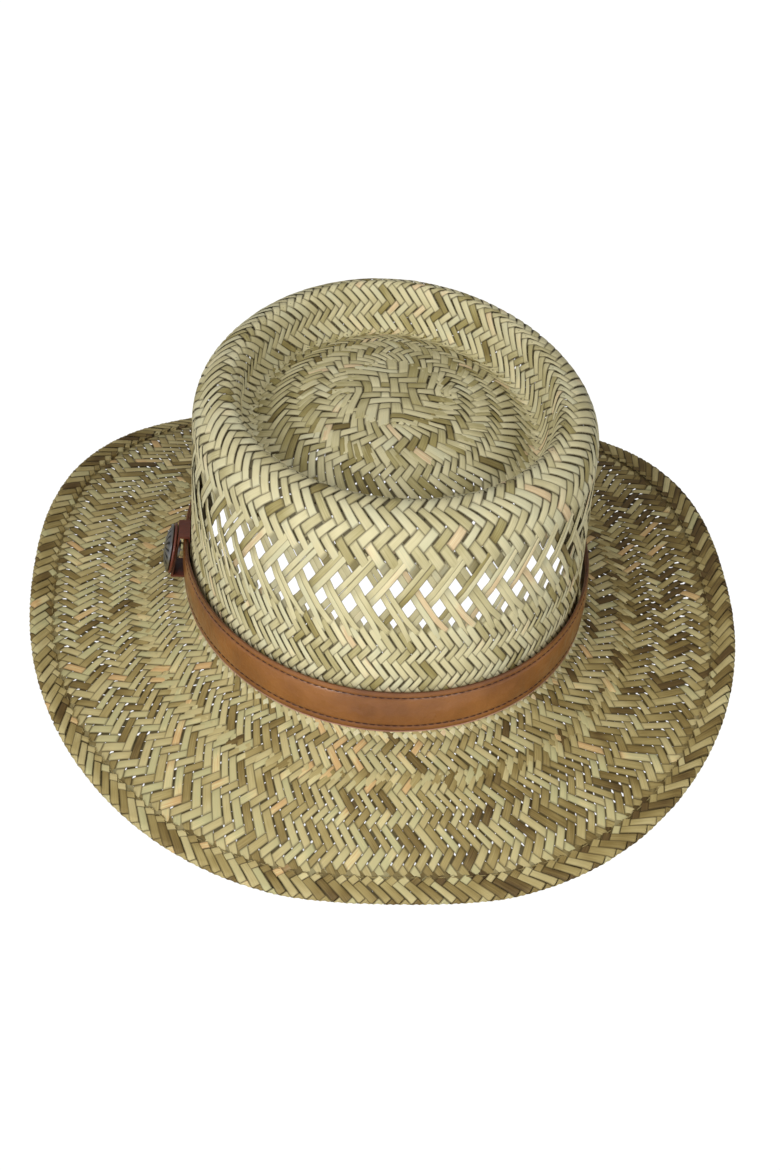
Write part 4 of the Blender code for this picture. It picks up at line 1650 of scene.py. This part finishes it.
@dataclass
class Studio:
    """Pale floor, soft light and the camera."""

    eye: tuple[float, float, float] = (-68.9 * MM, -740.5 * MM, 582.9 * MM)
    down: float = 36.98
    turn: float = -5.65
    roll: float = 4.72
    lens: float = 62.87
    sensor: float = 36.0

    def build(self) -> None:
        """Set up floor, lights and camera."""
        self.floor()
        self.lights()
        self.camera()

    def floor(self) -> None:
        """A white table that glows a little, so that the holes in the straw read white."""
        made, tree, shader = new_material("white_table")
        shader.inputs["Base Color"].default_value = linear("E4E4E2")
        shader.inputs["Roughness"].default_value = 0.9
        glow = add_node(tree, "ShaderNodeEmission", values={"Color": (1.0, 1.0, 1.0, 1.0), "Strength": 1.05})
        seen = add_node(tree, "ShaderNodeLightPath").outputs["Is Camera Ray"]
        mixed = add_node(
            tree, "ShaderNodeMixShader", {0: seen, 1: shader.outputs["BSDF"], 2: glow.outputs["Emission"]}
        )
        tree.links.new(mixed.outputs[0], tree.nodes["Material Output"].inputs["Surface"])
        bpy.ops.mesh.primitive_plane_add(size=30.0)
        table = bpy.context.object
        table.name = "white_table"
        table.data.materials.append(made)

    def lights(self) -> None:
        """Large soft lights over the hat and a pale surround."""
        world = bpy.data.worlds.new("pale_room")
        bpy.context.scene.world = world
        world.use_nodes = True
        back = world.node_tree.nodes["Background"]
        back.inputs["Color"].default_value = (1.0, 1.0, 1.0, 1.0)
        back.inputs["Strength"].default_value = 0.22
        for name, place, size, power in (
            ("left_key", (-1.0, -1.4, 0.95), 0.9, 21.5),
            ("right_key", (0.8, -1.45, 0.95), 0.9, 12.5),
            ("top", (-0.6, 0.3, 1.7), 0.9, 4.0),
        ):
            lamp = bpy.data.lights.new(name, "AREA")
            lamp.size = size
            lamp.energy = power
            light = bpy.data.objects.new(name, lamp)
            light.location = place
            aim = Vector((0.0, 0.0, 0.06)) - Vector(place)
            light.rotation_euler = aim.to_track_quat("-Z", "Y").to_euler()
            bpy.context.scene.collection.objects.link(light)

    def camera(self) -> None:
        """The camera, with its roll."""
        down = math.radians(self.down)
        roll = math.radians(self.roll)
        turn = Matrix.Rotation(math.radians(self.turn), 3, "Z")
        ahead = turn @ Vector((0.0, math.cos(down), -math.sin(down)))
        level = turn @ Vector((1.0, 0.0, 0.0))
        upright = level.cross(ahead)
        right = math.cos(roll) * level + math.sin(roll) * upright
        up = right.cross(ahead)
        lens = bpy.data.cameras.new("camera")
        lens.lens = self.lens
        lens.sensor_width = self.sensor
        lens.sensor_fit = "AUTO"
        lens.clip_start = 0.05
        camera = bpy.data.objects.new("camera", lens)
        camera.matrix_world = Matrix.Translation(self.eye) @ Matrix((right, up, -ahead)).transposed().to_4x4()
        bpy.context.scene.collection.objects.link(camera)
        bpy.context.scene.camera = camera
        bpy.context.scene.view_settings.view_transform = "Standard"


def main() -> None:
    """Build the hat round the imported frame."""
    logging.basicConfig(level=logging.INFO, format="%(name)s %(message)s")
    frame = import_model()
    Studio().build()
    block = HatBlock()
    LOG.info("crown reach %.1f mm, full reach %.1f mm", block.crown_reach / MM, block.full_reach / MM)
    block_object = block.build()
    press = PressTree()
    stitches = StitchTree()
    straw = StrawBody(block, CROWN_STRAW.build(), BRIM_STRAW.build())
    straw.build(press, block_object)
    straw.sew_hem(stitches, STRAW_THREAD.build())
    leather = BAND_LEATHER.build()
    thread = BROWN_THREAD.build()
    Hatband(block, leather, BAND_LINING.build(), thread).build(stitches)
    nodes = frame["nodes"]
    Ornament(nodes, ROSETTE_LEATHER.build(), AGED_SILVER.build()).build()
    dress(nodes["sweatband"], SWEAT_CLOTH.build())
    dress(nodes["sweatband_stitching"], PALE_THREAD.build())
    dress(nodes["size_label"], LABEL_SATIN.build())
    dress(nodes["brim_wire"], WIRE_STEEL.build())
    bpy.data.objects.remove(block_object, do_unlink=True)


if __name__ == "__main__":
    main()
